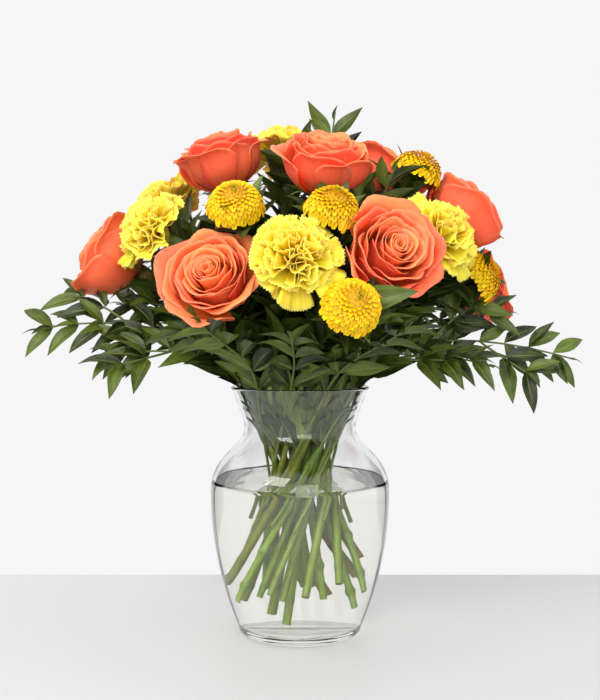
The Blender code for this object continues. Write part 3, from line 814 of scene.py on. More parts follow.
class ScatterTree(GeometryTree):
    """Sets a small shape on each point, pointing and facing as the point says."""

    def __init__(self) -> None:
        """Builds the tree."""
        super().__init__(
            "scatter",
            {
                "Shape": "NodeSocketObject",
                "Seed": "NodeSocketInt",
                "Wobble": "NodeSocketFloat",
                "Wobble Scale": "NodeSocketFloat",
                "Material": "NodeSocketMaterial",
            },
        )
        tree, given = self.tree, self.given
        shape = tree.node("GeometryNodeObjectInfo", sockets={"Object": given["Shape"]})
        turn = tree.node(
            "FunctionNodeAxesToRotation",
            {"primary_axis": "X", "secondary_axis": "Z"},
            {0: self.named("direction", "FLOAT_VECTOR"), 1: self.named("facing", "FLOAT_VECTOR")},
        )
        copies = tree.node(
            "GeometryNodeInstanceOnPoints",
            sockets={
                "Points": given["Geometry"],
                "Instance": shape.outputs["Geometry"],
                "Rotation": turn,
                "Scale": self.named("size", "FLOAT_VECTOR"),
            },
        )
        shaded = tree.node(
            "GeometryNodeStoreNamedAttribute",
            {"data_type": "FLOAT", "domain": "INSTANCE"},
            {"Geometry": copies, "Name": "shade", "Value": self.random(0.0, 1.0, given["Seed"])},
        )
        real = tree.node("GeometryNodeRealizeInstances", sockets={"Geometry": shaded})
        noise = tree.node("ShaderNodeTexNoise", sockets={"Scale": given["Wobble Scale"], "Detail": 0.0})
        centred = tree.node(
            "ShaderNodeVectorMath", {"operation": "SUBTRACT"}, {0: noise.outputs[1], 1: (0.5, 0.5, 0.5)}
        )
        offset = tree.node(
            "ShaderNodeVectorMath", {"operation": "SCALE"}, {0: centred, "Scale": given["Wobble"]}
        )
        moved = tree.node("GeometryNodeSetPosition", sockets={"Geometry": real, "Offset": offset})
        self.ends_in(moved)


@dataclass
class Bench:
    """What the pieces share: the frame, the geometry trees, and the finishes by name."""

    frame: dict[str, Any]
    tubes: TubeTree
    scatter: ScatterTree
    finishes: dict[str, bpy.types.Material]
    shapes: list[bpy.types.Object] = field(default_factory=list)

    def shape(self, mesh: bpy.types.Mesh, name: str) -> bpy.types.Object:
        """A small shape to scatter, which is taken away at the end."""
        obj = object_of(mesh, name)
        self.shapes.append(obj)
        return obj

    def chains(
        self,
        name: str,
        points: Sequence[Vector],
        edges: Sequence[tuple[int, int]],
        marks: dict[str, Sequence[float]],
        finish: str,
        sides: int,
        step: float,
    ) -> bpy.types.Object:
        """Round stems along chains of points.

        Args:
            name: The piece's name.
            points: The chains' points.
            edges: The pairs of points that are joined.
            marks: Numbers stored on the points, thickness among them.
            finish: The finish's name.
            sides: The sides of the tube.
            step: The distance between its rings.

        Returns:
            The piece.
        """
        mesh = mesh_of(name, points, edges)
        for mark, values in marks.items():
            store(mesh, mark, values)
        values = {"Sides": sides, "Step": step, "Material": self.finishes[finish]}
        return self.tubes.applied(object_of(mesh, name), values)

    def scattered(
        self,
        name: str,
        seats: Sequence[LeafSeat],
        shape: bpy.types.Object,
        finish: str,
        seed: int,
        wobble: float = 0.0,
        wobble_scale: float = 60.0,
        layers: Sequence[float] | None = None,
    ) -> bpy.types.Object:
        """Copies of a shape on seats.

        Args:
            name: The piece's name.
            seats: Where the copies go, and their sizes.
            shape: The shape, one long along X and one wide along Y.
            finish: The finish's name.
            seed: The seed of the copies' shades.
            wobble: How far noise moves their points, in metres.
            wobble_scale: The noise's scale.
            layers: Each copy's layer, 0 at the heart to 1 outside.

        Returns:
            The piece.
        """
        mesh = mesh_of(name, [s.foot for s in seats])
        store(mesh, "direction", [tuple(s.direction) for s in seats], "FLOAT_VECTOR")
        store(mesh, "facing", [tuple(s.facing) for s in seats], "FLOAT_VECTOR")
        store(mesh, "size", [(s.length, s.width, s.length) for s in seats], "FLOAT_VECTOR")
        store(mesh, "layer", layers or [1.0] * len(seats))
        values = {
            "Shape": shape,
            "Seed": seed,
            "Wobble": wobble,
            "Wobble Scale": wobble_scale,
            "Material": self.finishes[finish],
        }
        return self.scatter.applied(object_of(mesh, name), values)

    def dressed(self, mesh: bpy.types.Mesh, name: str, finish: str) -> bpy.types.Object:
        """An object of that mesh with that finish."""
        mesh.materials.append(self.finishes[finish])
        return object_of(mesh, name)

    @staticmethod
    def kept(obj: bpy.types.Object, slot: str, *nodes: str) -> None:
        """Says that a piece rides on the root and stands for those nodes."""
        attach(obj, ROOT)
        if nodes:
            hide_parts(*nodes)
        LOG.info("%s: %d faces", obj.name, len(obj.data.polygons))


def blade_mesh(name: str, rows: int, columns: int, point: float, arch: float, fold: float) -> bpy.types.Mesh:
    """A leaf or floret, one long along X and one wide along Y.

    Args:
        name: The mesh's name.
        rows: The faces along it.
        columns: The faces across it.
        point: How pointed it is: 0 a rounded end, 1 a drawn-out tip.
        arch: How far its tip droops.
        fold: How far its edges rise beside its middle.

    Returns:
        The mesh, with along and across stored on it.
    """
    bm = bmesh.new()
    along_mark = bm.verts.layers.float.new("along")
    across_mark = bm.verts.layers.float.new("across")
    grid = []
    for i in range(rows + 1):
        x = 1 - (1 - i / rows) ** 1.5
        lance = math.sin(math.pi * min(x, 1) ** 0.82) ** 0.9 * (1 - 0.18 * x)
        spoon = math.sin(math.pi / 2 * min(1, x * 1.15)) ** 0.8 * max(0.0, 1 - x**6) ** 0.5
        blunt = eased(0.5, 0.02, point) if i == rows else 0.05
        half = 0.5 * max(eased(spoon, lance, point), blunt)
        row = []
        for j in range(columns + 1):
            side = 2 * j / columns - 1
            rise = arch * (0.6 * math.sin(math.pi * x) - x**2) + fold * abs(side) ** 1.5 * half
            vert = bm.verts.new((x, side * half, rise))
            vert[along_mark] = x
            vert[across_mark] = side
            row.append(vert)
        grid.append(row)
    for low, high in zip(grid, grid[1:], strict=False):
        for j in range(columns):
            bm.faces.new((low[j], high[j], high[j + 1], low[j + 1]))
    return smooth_mesh(bm, name)


# --- Blooms ---------------------------------------------------------------------------------


@dataclass
class PetalBloom:
    """A bloom of curved petals in a spiral, from its heart out."""

    name: str
    seat: Seat
    seed: int
    finish: str = ""
    petals: int = 1
    thickness: float = 0.0003
    across: int = 9
    along: int = 9

    def petal(self, index: int, draw: np.random.Generator) -> np.ndarray:
        """One petal's middle surface.

        Args:
            index: Its number, from the heart out.
            draw: The source of random numbers.

        Returns:
            Points across by points along by 3.
        """
        raise NotImplementedError

    def plan(self, index: int) -> tuple[float, np.ndarray, np.ndarray]:
        """A petal's share of the way out, and its places across, -1 to 1, and along, 0 to 1."""
        across = np.linspace(-1, 1, self.across)[:, None]
        return index / (self.petals - 1), across, np.linspace(0, 1, self.along)[None, :]

    def build(self, bench: Bench) -> bpy.types.Object:
        """Builds and dresses the bloom."""
        draw = np.random.default_rng(self.seed)
        sheets = Sheets(self.thickness)
        for index in range(self.petals):
            sheets.add(self.petal(index, draw), index / (self.petals - 1), draw.uniform())
        mesh = sheets.mesh(self.name, self.seat.matrix(draw.uniform(0, 2 * math.pi)))
        return bench.dressed(mesh, self.name, self.finish)


@dataclass
class Rose(PetalBloom):
    """An opened rose: petals in a spiral, furled at the heart and rolled back at the lip."""

    finish: str = "rose_petal"
    petals: int = 31
    thickness: float = 0.0004
    heart_radius: float = 0.06  # of the bloom's radius
    outer_height: float = 0.84  # of the bloom's height
    lip_roll: float = 0.0085
    point: float = 0.04  # how far the middle of an outer lip stands out, of the petal's length
    loose_share: float = 0.86  # from here out the petals roll back further
    across: int = 17
    along: int = 13

    def petal(self, index: int, draw: np.random.Generator) -> np.ndarray:
        """One petal's middle surface, from its foot to its rolled lip."""
        share, u, v = self.plan(index)
        size = self.seat.radius
        reach = size * eased(self.heart_radius, 0.90, share**1.12) * draw.uniform(0.95, 1.05)
        crown = math.sin(math.pi * min(1.0, share * 1.25)) * 0.05
        height = self.seat.height * (eased(0.95, self.outer_height, share**1.6) + crown)
        height *= draw.uniform(0.97, 1.03)
        half_angle = math.radians(eased(135, 60, min(1.0, share * 1.6))) * draw.uniform(0.90, 1.10)
        outline = 1 - eased(0.08, 0.34, share) * np.abs(u) ** eased(3.0, 2.2, share)
        outline = outline + self.point * share**5 * np.exp(-((u / 0.26) ** 2))
        climb = v * outline
        cup = 1 - np.maximum(1 - climb, 0) ** eased(6.0, 3.2, share)
        closing = eased(0.45, 0.0, min(1.0, share * 2.6))
        radius = 0.003 + (reach - 0.003) * (cup - closing * climb**3)
        radius = radius + size * 0.05 * draw.uniform(-0.7, 1.0) * share * climb**2
        rise = height * (climb - 0.05 * np.sin(np.pi * climb))
        curl = np.clip((climb - 0.68) / 0.32, 0, 1)
        roll = self.lip_roll * eased(0.16, 1.0, share**1.2) * draw.uniform(0.6, 1.35)
        roll *= 1.4 if share > self.loose_share else 1.0
        sides = 1 + 1.1 * np.abs(u) ** 2
        radius = radius + roll * curl**2 * sides * 0.75
        rise = rise - roll * curl**2.2 * sides * 0.66
        edge_roll = np.clip((np.abs(u) - 0.55) / 0.45, 0, 1) ** 2 * climb
        radius = radius + edge_roll * size * 0.09 * share
        radius = radius + size * eased(0.030, 0.075, share) * u * np.minimum(1, climb * 3)
        wave = draw.uniform(0, 2 * math.pi, 2)
        radius = radius + 0.0016 * share * climb**2 * np.sin(2.6 * u * math.pi + wave[0])
        rise = rise + 0.0012 * (0.3 + share) * climb**2 * np.sin(1.9 * u * math.pi + wave[1])
        turn = index * GOLDEN_ANGLE + draw.uniform(-0.2, 0.2)
        angle = turn + half_angle * u * (0.88 + 0.12 * climb)
        return np.stack((radius * np.cos(angle), radius * np.sin(angle), rise), -1)


@dataclass
class Carnation(PetalBloom):
    """A carnation: ruffled, toothed petals crowded at the heart and spread in a skirt."""

    finish: str = "carnation_petal"
    petals: int = 44
    guards: int = 7  # the outermost petals, longer and flatter than the others
    petal_width: float = 0.031
    ruffle: float = 0.0046
    tooth: float = 0.0006
    across: int = 29

    def petal(self, index: int, draw: np.random.Generator) -> np.ndarray:
        """One petal's middle surface, from its claw in the calyx to its toothed lip."""
        share, u, v = self.plan(index)
        is_guard = index >= self.petals - self.guards
        sway, droop = (16, 3) if is_guard else (8, 0)
        lean = math.radians(eased(5, 98, share**0.85) + draw.uniform(-sway, sway) + droop)
        length = eased(self.seat.height * 1.00, self.seat.radius * 1.11, share) * draw.uniform(0.92, 1.06)
        length *= draw.uniform(0.94, 1.12) if is_guard else eased(1.0, 0.86, share)
        teeth = self.tooth * (np.arange(self.across)[:, None] % 2 - 0.5) * 2
        outline = 1 - 0.10 * np.abs(u) ** 3
        travel = v * length * outline + teeth * v**8
        bend = lean * np.clip(travel / length / 0.75, 0, 1) ** 1.1
        step = np.diff(travel, axis=1, prepend=0)
        out = np.cumsum(np.sin(bend) * step, axis=1)
        up = np.cumsum(np.cos(bend) * step, axis=1)
        width = self.petal_width * eased(0.60, 1.0, share) * draw.uniform(0.85, 1.1)
        width *= 0.84 if is_guard else 1.0
        side = u * (0.0016 + width / 2 * np.clip(v, 0, 1) ** 1.35)
        waves = draw.uniform(1.0, 2.1), draw.uniform(0, 2 * math.pi)
        fine = draw.uniform(3.0, 4.5), draw.uniform(0, 2 * math.pi)
        depth = self.ruffle * eased(1.3, 0.42, share**1.5)
        lift = depth * v**2.0 * np.sin(waves[0] * math.pi * u + waves[1])
        lift = lift + eased(0.0014, 0.0007, share) * v**3 * np.sin(fine[0] * math.pi * u + fine[1])
        twist = draw.uniform(-1, 1) * math.radians(eased(75, 14, share))
        cos, sin = math.cos(twist), math.sin(twist)
        side, lift = side * cos - lift * sin, side * sin + lift * cos
        radial = out - lift * np.cos(bend) + 0.0018
        rise = up + lift * np.sin(bend)
        turn = index * GOLDEN_ANGLE + draw.uniform(-0.2, 0.2)
        x = radial * math.cos(turn) - side * math.sin(turn)
        y = radial * math.sin(turn) + side * math.cos(turn)
        return np.stack((x, y, rise), -1)


@dataclass
class Button:
    """A button chrysanthemum: a dome of spooned florets with a tight, greener eye."""

    name: str
    seat: Seat
    seed: int
    florets: int = 270
    eye_tilt: float = 0.12  # how far off the axis the eye sits, in radians
    last_angle: float = math.radians(95)  # from the eye to the outermost florets
    lean_shares: tuple[float, ...] = (0.0, 0.05, 0.12, 0.5, 0.8, 1.0)
    leans: tuple[float, ...] = (-0.35, 0.10, 0.34, 0.50, 0.56, 0.50)  # towards the eye, then away
    dome: tuple[float, float, float] = (0.66, 0.46, 0.36)  # across, up and middle, of the bloom's size
    core_size: tuple[float, float] = (0.58, 0.70)  # across and up, of the bloom's size

    def seats(self) -> tuple[list[LeafSeat], list[float]]:
        """Where the florets grow, and each one's layer from the eye out."""
        draw = np.random.default_rng(self.seed)
        matrix = self.seat.matrix(draw.uniform(0, 2 * math.pi))
        turn = matrix.to_3x3()
        size = (self.seat.radius, self.seat.height, self.seat.height)
        wide, tall, middle = (whole * share for whole, share in zip(size, self.dome, strict=True))
        eye = Quaternion((1, 0, 0), self.eye_tilt)
        up = Vector((0, 0, 1))
        seats, layers = [], []
        for index in range(self.florets):
            share = (index + 0.5) / self.florets
            polar = self.last_angle * math.sqrt(share)
            out = Vector((math.cos(index * GOLDEN_ANGLE), math.sin(index * GOLDEN_ANGLE), 0))
            outward = eye @ (out * math.sin(polar) + up * math.cos(polar))
            away = eye @ (out * math.cos(polar) - up * math.sin(polar))
            base = Vector((outward.x * wide, outward.y * wide, middle + outward.z * tall))
            lean = float(np.interp(share, self.lean_shares, self.leans)) + draw.uniform(-0.05, 0.05)
            direction = outward * (1 - lean) + away * lean
            facing = outward * lean - away * (1 - lean)
            length = eased(0.0042, 0.0125, share**2.0) * draw.uniform(0.88, 1.08)
            width = eased(0.0028, 0.0054, share**0.8)
            spot = matrix @ (base - outward * 0.001)
            seats.append(
                LeafSeat(spot, (turn @ direction).normalized(), (turn @ facing).normalized(), length, width)
            )
            layers.append(share)
        return seats, layers

    def build(self, bench: Bench, floret: bpy.types.Object) -> bpy.types.Object:
        """Builds and dresses the bloom from a floret's shape."""
        seats, layers = self.seats()
        return bench.scattered(self.name, seats, floret, "button_petal", self.seed, layers=layers)

    def core(self, bench: Bench) -> bpy.types.Object:
        """The dome that the florets grow from, so that no gap shows between them."""
        radius, height = self.seat.radius * self.core_size[0], self.seat.height * self.core_size[1]
        arc = [math.pi * i / 14 for i in range(15)]
        profile = [(radius * math.sin(a), height / 2 * (1 - math.cos(a)) + 0.001) for a in arc]
        profile[0], profile[-1] = (0, profile[0][1]), (0, profile[-1][1])
        mesh = revolved(self.name + "_core", profile, 24)
        mesh.transform(self.seat.matrix(0.0))
        return bench.dressed(mesh, mesh.name, "button_core")


# --- Stems and leaves -----------------------------------------------------------------------


class Species(Enum):
    """The kinds of flower: name, stem finish, distance between joints, and how much they swell."""

    ROSE = ("rose", "rose_stem", 0.043, 0.10)
    CARNATION = ("carnation", "carnation_stem", 0.036, 0.55)
    BUTTON = ("button", "button_stem", 0.030, 0.16)

    def __init__(self, word: str, finish: str, joint_spacing: float, joint_swell: float) -> None:
        """Names the parts of the value."""
        self.word = word
        self.finish = finish
        self.joint_spacing = joint_spacing
        self.joint_swell = joint_swell


@dataclass
class FlowerStem:
    """A flower's stem with its joints, its swelling under the bloom, and its green collar."""

    flower: str
    species: Species
    seed: int
    sides: int = 12
    step: float = 0.0022
    joint_length: float = 0.0042
    leaf_start: float = 0.008
    leaf_end: float = 0.012
    leaf_spacing: float = 0.0050
    leaf_length: float = 0.045

    def build(self, bench: Bench) -> bpy.types.Object:
        """Builds the stem along the rings of its node."""
        draw = np.random.default_rng(self.seed)
        centres, radii = stem_chain(bench.frame, self.flower + "_stem")
        points, thickness, joints = [], [], []
        travelled, joint_at = 0.0, draw.uniform(0.2, 0.8) * self.species.joint_spacing
        for a, b, wide, narrow in zip(centres, centres[1:], radii, radii[1:], strict=False):
            length = (b - a).length
            count = max(1, round(length / self.step))
            for i in range(count):
                share = i / count
                place = travelled + share * length
                if place > joint_at + self.species.joint_spacing / 2:
                    joint_at += self.species.joint_spacing * draw.uniform(0.8, 1.2)
                joint = math.exp(-(((place - joint_at) / self.joint_length) ** 2) * 2)
                joint *= 1.0 if wide <= radii[0] * 1.05 else 0.0
                points.append(a.lerp(b, share))
                thickness.append(eased(wide, narrow, share) * (0.97 + joint * self.species.joint_swell))
                joints.append(joint)
            travelled += length
        points.append(centres[-1])
        thickness.append(radii[-1])
        joints.append(0.0)
        shade = draw.uniform()
        return bench.chains(
            self.flower + "_stalk",
            points,
            [(i, i + 1) for i in range(len(points) - 1)],
            {"thickness": thickness, "joint": joints, "shade": [shade] * len(points)},
            self.species.finish,
            self.sides,
            self.step,
        )

    def collar(self, bench: Bench, seat: Seat, sepal: bpy.types.Object) -> bpy.types.Object:
        """The green leaves under the bloom: sepals, calyx teeth or bracts."""
        draw = np.random.default_rng(self.seed + COLLAR_DRAWS)
        count, length, width, lean, start = {
            Species.ROSE: (5, 0.024, 0.0062, 1.25, 0.0045),
            Species.CARNATION: (6, 0.0085, 0.0048, 0.25, 0.0052),
            Species.BUTTON: (14, 0.0105, 0.0036, 1.15, 0.0050),
        }[self.species]
        matrix = seat.matrix(draw.uniform(0, 2 * math.pi))
        turn = matrix.to_3x3()
        up = Vector((0, 0, 1))
        seats = []
        for i in range(count):
            around = 2 * math.pi * i / count + draw.uniform(-0.15, 0.15)
            out = Vector((math.cos(around), math.sin(around), 0))
            tilt = lean + draw.uniform(-0.12, 0.12)
            foot = matrix @ (out * start - up * 0.0010)
            size = length * draw.uniform(0.85, 1.1)
            seats.append(LeafSeat.leaning(foot, turn @ out, turn @ up, tilt, size, width))
        name = self.flower + "_collar"
        return bench.scattered(name, seats, sepal, "sepal", self.seed, wobble=0.0010, wobble_scale=90.0)

    def foliage(self, bench: Bench, leaf: bpy.types.Object) -> bpy.types.Object:
        """The leaves on the stem between the rim and the bloom, which close the bouquet inside."""
        draw = np.random.default_rng(self.seed + FOLIAGE_DRAWS)
        centres, _ = stem_chain(bench.frame, self.flower + "_stem")
        places = np.array([tuple(c) for c in centres])
        travel = np.concatenate(([0], np.cumsum(np.linalg.norm(np.diff(places, axis=0), axis=1))))
        start = float(np.interp(rim_height() + self.leaf_start, places[:, 2], travel))
        seats = []
        for i, at in enumerate(np.arange(start, travel[-1] - self.leaf_end, self.leaf_spacing)):
            here, there = (
                Vector([float(np.interp(at + d, travel, places[:, k])) for k in range(3)])
                for d in (0.0, 0.004)
            )
            tangent = (there - here).normalized()
            side = tangent.orthogonal().normalized()
            for way in (1, -1):
                out = Quaternion(tangent, i * GOLDEN_ANGLE + draw.uniform(0, 1)) @ side * way
                tilt = draw.uniform(0.32, 1.05)
                length = self.leaf_length * draw.uniform(0.8, 1.1)
                width = length * draw.uniform(0.36, 0.44)
                seats.append(LeafSeat.leaning(here, out, tangent, tilt, length, width))
        name = self.flower + "_foliage"
        return bench.scattered(name, seats, leaf, "ruscus_leaf", self.seed, wobble=0.003, wobble_scale=45.0)


def mates_of(index: int, pairs: Iterable[tuple[int, int]]) -> list[int]:
    """The joints of a twig that a joint is joined to."""
    return [b if a == index else a for a, b in pairs if index in (a, b)]


def place_at(height: float, centres: Sequence[Vector]) -> Vector:
    """Where a rising twig is at that height."""
    line = sorted((tuple(c) for c in centres), key=lambda c: c[2])
    heights = [c[2] for c in line]
    return Vector([float(np.interp(height, heights, [c[k] for c in line])) for k in range(3)])


@dataclass
class Sprig:
    """A ruscus sprig: its twigs and its leaves, read from its node."""

    name: str
    seed: int
    tip_angle: float = math.radians(140)  # the corners round a leaf's tip add up to less
    ring_reach: float = 0.0032  # vertices nearer than this are at one joint of a twig
    twig_step: float = 0.003
    extra_share: float = 0.6  # of the leaves that have a smaller one beside them
    collar_depths: tuple[float, ...] = (0.046, 0.040, 0.034, 0.027, 0.020)  # below the rim
    wall_depths: tuple[float, ...] = (0.050, 0.044, 0.038, 0.031, 0.026, 0.022)  # of those at the wall
    wall_spread: float = 0.21  # between their directions, in radians
    wall_gap: float = 0.0022
    collar_length: float = 0.034
    end_length: float = 0.014
    leaves: list[LeafSeat] = field(default_factory=list)

    def is_tip(self, vert: bmesh.types.BMVert) -> bool:
        """Whether a vertex is the sharp tip of a leaf."""
        if len(vert.link_edges) != 4:
            return False
        return sum(loop.calc_angle() for loop in vert.link_loops) < self.tip_angle

    def read_leaves(self, bm: bmesh.types.BMesh) -> set[bmesh.types.BMVert]:
        """Reads the leaves off the mesh.

        Args:
            bm: The node's mesh.

        Returns:
            The vertices of the leaves, which the twigs don't have.
        """
        found = set()
        for tip in [v for v in bm.verts if self.is_tip(v)]:
            ring = {e.other_vert(tip) for e in tip.link_edges}
            corners = {e.other_vert(v) for v in ring for e in v.link_edges} - ring - {tip}
            foot = centre_of(corners)
            spread = sorted(
                ((a.co - b.co).length, a.index, b.index) for a in ring for b in ring if a.index < b.index
            )[-1]
            by_index = {v.index: v for v in ring}
            left, right = by_index[spread[1]], by_index[spread[2]]
            direction = (tip.co - foot).normalized()
            facing = direction.cross((right.co - left.co).normalized()).normalized()
            if facing.z < 0:
                facing = -facing
            self.leaves.append(LeafSeat(foot, direction, facing, (tip.co - foot).length, spread[0]))
            found |= ring | {tip}
        return found

    def read_twigs(
        self, bm: bmesh.types.BMesh
    ) -> tuple[list[Vector], list[tuple[int, int]], list[float]]:
        """Reads the twigs' joints, the pairs that are joined, and each one's thickness."""
        joint_of: dict[bmesh.types.BMVert, int] = {}
        joints: list[list[bmesh.types.BMVert]] = []
        for start in bm.verts:
            if start in joint_of:
                continue
            group, open_ends = [], [start]
            joint_of[start] = len(joints)
            while open_ends:
                vert = open_ends.pop()
                group.append(vert)
                for edge in vert.link_edges:
                    other = edge.other_vert(vert)
                    if other not in joint_of and edge.calc_length() < self.ring_reach:
                        joint_of[other] = len(joints)
                        open_ends.append(other)
            joints.append(group)
        centres = [centre_of(group) for group in joints]
        pairs = {
            tuple(sorted((joint_of[e.verts[0]], joint_of[e.verts[1]])))
            for e in bm.edges
            if joint_of[e.verts[0]] != joint_of[e.verts[1]]
        }
        thickness = []
        for index, group in enumerate(joints):
            mates = mates_of(index, pairs)
            along = (centres[mates[0]] - centres[mates[-1]]) if len(mates) > 1 else Vector()
            if along.length < 1e-6:
                along = centres[mates[0]] - centres[index] if mates else Vector((0, 0, 1))
            along.normalize()
            thickness.append(sum((v.co - centres[index]).cross(along).length for v in group) / len(group))
        return centres, sorted(pairs), thickness

    def extra_leaves(self) -> list[LeafSeat]:
        """Smaller leaves beside some of the leaves, turned round the twig."""
        draw = np.random.default_rng(self.seed)
        found = []
        for leaf in self.leaves:
            if draw.uniform() > self.extra_share:
                continue
            axis = (leaf.direction + leaf.facing * draw.uniform(-0.2, 0.2)).normalized()
            turn = Quaternion(axis.cross(leaf.facing).normalized(), draw.uniform(0.45, 0.8))
            roll = Quaternion(leaf.direction, draw.uniform(-1.0, 1.0))
            size = draw.uniform(0.62, 0.85)
            found.append(
                LeafSeat(
                    leaf.foot,
                    (roll @ turn @ leaf.direction).normalized(),
                    (roll @ turn @ leaf.facing).normalized(),
                    leaf.length * size,
                    leaf.width * size,
                )
            )
        return found

    def end_leaves(self, centres: Sequence[Vector], pairs: Sequence[tuple[int, int]]) -> list[LeafSeat]:
        """A small leaf on the end of each twig that stands out of the vase.

        Args:
            centres: The twigs' joints.
            pairs: The joints that are joined.

        Returns:
            The leaves' seats.
        """
        seats = []
        for index, centre in enumerate(centres):
            mates = mates_of(index, pairs)
            if len(mates) != 1 or centre.z < rim_height():
                continue
            direction = (centre - centres[mates[0]]).normalized()
            facing = direction.cross(Vector((0, 0, 1)).cross(direction)).normalized()
            foot = centre - direction * self.end_length / 2
            seats.append(LeafSeat(foot, direction, facing, self.end_length, self.end_length * 0.38))
        return seats

    def collar_leaves(self, centres: Sequence[Vector]) -> list[LeafSeat]:
        """Leaves on the part of the twig that stands inside the vase's collar, along its wall."""
        draw = np.random.default_rng(self.seed + INSIDE_DRAWS)
        seats = []
        for below in self.collar_depths:
            foot = place_at(rim_height() - below + draw.uniform(-0.003, 0.003), centres)
            out = Vector((foot.x, foot.y, 0)).normalized()
            aside = Vector((-out.y, out.x, 0)) * draw.uniform(-0.45, 0.45)
            direction = (Vector((0, 0, 0.93)) + out * 0.20 + aside).normalized()
            length = self.collar_length * draw.uniform(0.85, 1.1)
            seats.append(LeafSeat.upright(foot, direction, out, length, length * 0.46))
        return seats

    def wall_leaves(self, centres: Sequence[Vector], inner: Sequence[tuple[float, float]]) -> list[LeafSeat]:
        """Leaves that reach from the twig to the inside of the collar and lie against it.

        Args:
            centres: The twig's joints.
            inner: The radius and height pairs of the glass's inner wall.

        Returns:
            Their seats.
        """
        draw = np.random.default_rng(self.seed + WALL_DRAWS)
        wall = sorted((z, r) for r, z in inner)
        seats = []
        for order, below in enumerate(self.wall_depths):
            height = rim_height() - below + draw.uniform(-0.003, 0.003)
            foot = place_at(height, centres)
            length = self.collar_length * draw.uniform(0.9, 1.15)
            top = height + length * 0.88
            reach = float(np.interp(top, [z for z, _ in wall], [r for _, r in wall])) - self.wall_gap
            around = math.atan2(foot.y, foot.x) + (order % 3 - 1) * self.wall_spread
            around += draw.uniform(-0.08, 0.08)
            out = Vector((math.cos(around), math.sin(around), 0))
            tip = out * reach + Vector((0, 0, top))
            seats.append(LeafSeat.upright(foot, (tip - foot).normalized(), out, length, length * 0.48))
        return seats

    def build(
        self, bench: Bench, leaf: bpy.types.Object, inner: Sequence[tuple[float, float]]
    ) -> list[bpy.types.Object]:
        """Builds the twigs and the leaves, some of them against the glass's inner wall."""
        bm = merged(bench.frame, self.name)
        bm.verts.index_update()
        leafy = self.read_leaves(bm)
        bmesh.ops.delete(bm, geom=list(leafy), context="VERTS")
        centres, pairs, thickness = self.read_twigs(bm)
        bm.free()
        inside = self.collar_leaves(centres) + self.wall_leaves(centres, inner)
        shade = np.random.default_rng(self.seed).uniform()
        twigs = bench.chains(
            self.name + "_twigs",
            centres,
            pairs,
            {"thickness": thickness, "joint": [0.0] * len(centres), "shade": [shade] * len(centres)},
            "twig",
            8,
            self.twig_step,
        )
        seats = self.leaves + self.extra_leaves() + self.end_leaves(centres, pairs) + inside
        leaves = bench.scattered(
            self.name + "_leaves", seats, leaf, "ruscus_leaf", self.seed, wobble=0.0035, wobble_scale=45.0
        )
        return [twigs, leaves]


# --- Vase and water -------------------------------------------------------------------------


@dataclass
class Vase:
    """The glass vase, turned from the profile of its node, and the water in it."""

    sides: int = 128
    wall_steps: int = 6
    punt: float = 0.0012  # how far the underside is pushed up
    wetting: float = 0.00025  # how far the water reaches into the glass, so that no air shows
    climb: float = 0.0008  # how far the water climbs at the glass
    outer: list[tuple[float, float]] = field(default_factory=list)
    inner: list[tuple[float, float]] = field(default_factory=list)

    def read(self, frame: dict[str, Any]) -> None:
        """Reads the outer profile up to the lip and the inner one down from it.

        Args:
            frame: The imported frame.
        """
        bm = merged(frame, "vase")
        line = {v for v in bm.verts if abs(v.co.y) < 1e-5 and v.co.x > -1e-5}
        vert = min(line, key=lambda v: (v.co.z, v.co.x))
        profile = []
        while vert is not None:
            profile.append((vert.co.x, vert.co.z))
            line.discard(vert)
            mates = [e.other_vert(vert) for e in vert.link_edges if e.other_vert(vert) in line]
            vert = min(mates, key=lambda v: (v.co - vert.co).length) if mates else None
        bm.free()
        top = max(range(len(profile)), key=lambda i: profile[i][1])
        self.outer, self.inner = profile[:top], profile[top + 1 :]

    def glass(self, bench: Bench) -> bpy.types.Object:
        """Builds the glass."""
        (foot_radius, foot), (heel_radius, heel) = self.outer[:2]
        under = [(0.0, foot + self.punt), (foot_radius * 0.78, foot + self.punt * 0.8)]
        heel_round = rounded((foot_radius, heel), (heel_radius - foot_radius, heel - foot), -90, 0)
        wall = curved(self.outer[1:], self.wall_steps)[1:]
        (out_r, out_z), (in_r, _) = self.outer[-1], self.inner[0]
        half = (out_r - in_r) / 2
        lip = rounded((in_r + half, out_z), (half, half * 0.7), 0, 180)[1:-1]
        inside = curved(self.inner[:-1], self.wall_steps)[:-1]
        (side_r, side_z), (floor_r, floor_z) = self.inner[-2:]
        floor_round = rounded((floor_r, side_z), (side_r - floor_r, side_z - floor_z), 0, -90)
        profile = [*under, *heel_round, *wall, *lip, *inside, *floor_round, (0.0, floor_z)]
        mesh = revolved("glass_vase", profile, self.sides)
        return bench.dressed(mesh, "glass_vase", "clear_glass")

    def water(self, bench: Bench) -> bpy.types.Object:
        """Builds the water, which wets the glass and climbs a little where it meets it."""
        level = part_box("water")[1][2]
        inside = curved(self.inner[:-1], self.wall_steps)[::-1]
        (side_r, side_z), (floor_r, floor_z) = self.inner[-2:]
        turn = rounded((floor_r, side_z), (side_r - floor_r, side_z - floor_z), -90, 0)
        wall = [*turn, *(p for p in inside if side_z < p[1] < level - 0.001)]
        wall = [(r + self.wetting, z - (self.wetting if z < side_z else 0.0)) for r, z in wall]
        edge = float(np.interp(level, [z for _, z in inside], [r for r, _ in inside])) + self.wetting
        surface = [
            (edge - self.climb * 2.6 * t, level + self.climb * (math.exp(-4 * t) - math.exp(-4)))
            for t in (i / 8 for i in range(9))
        ]
        profile = [(0.0, floor_z - self.wetting), *wall, *surface, (0.0, level)]
        mesh = revolved("still_water", profile, self.sides)
        return bench.dressed(mesh, "still_water", "water")


# --- Stage ----------------------------------------------------------------------------------


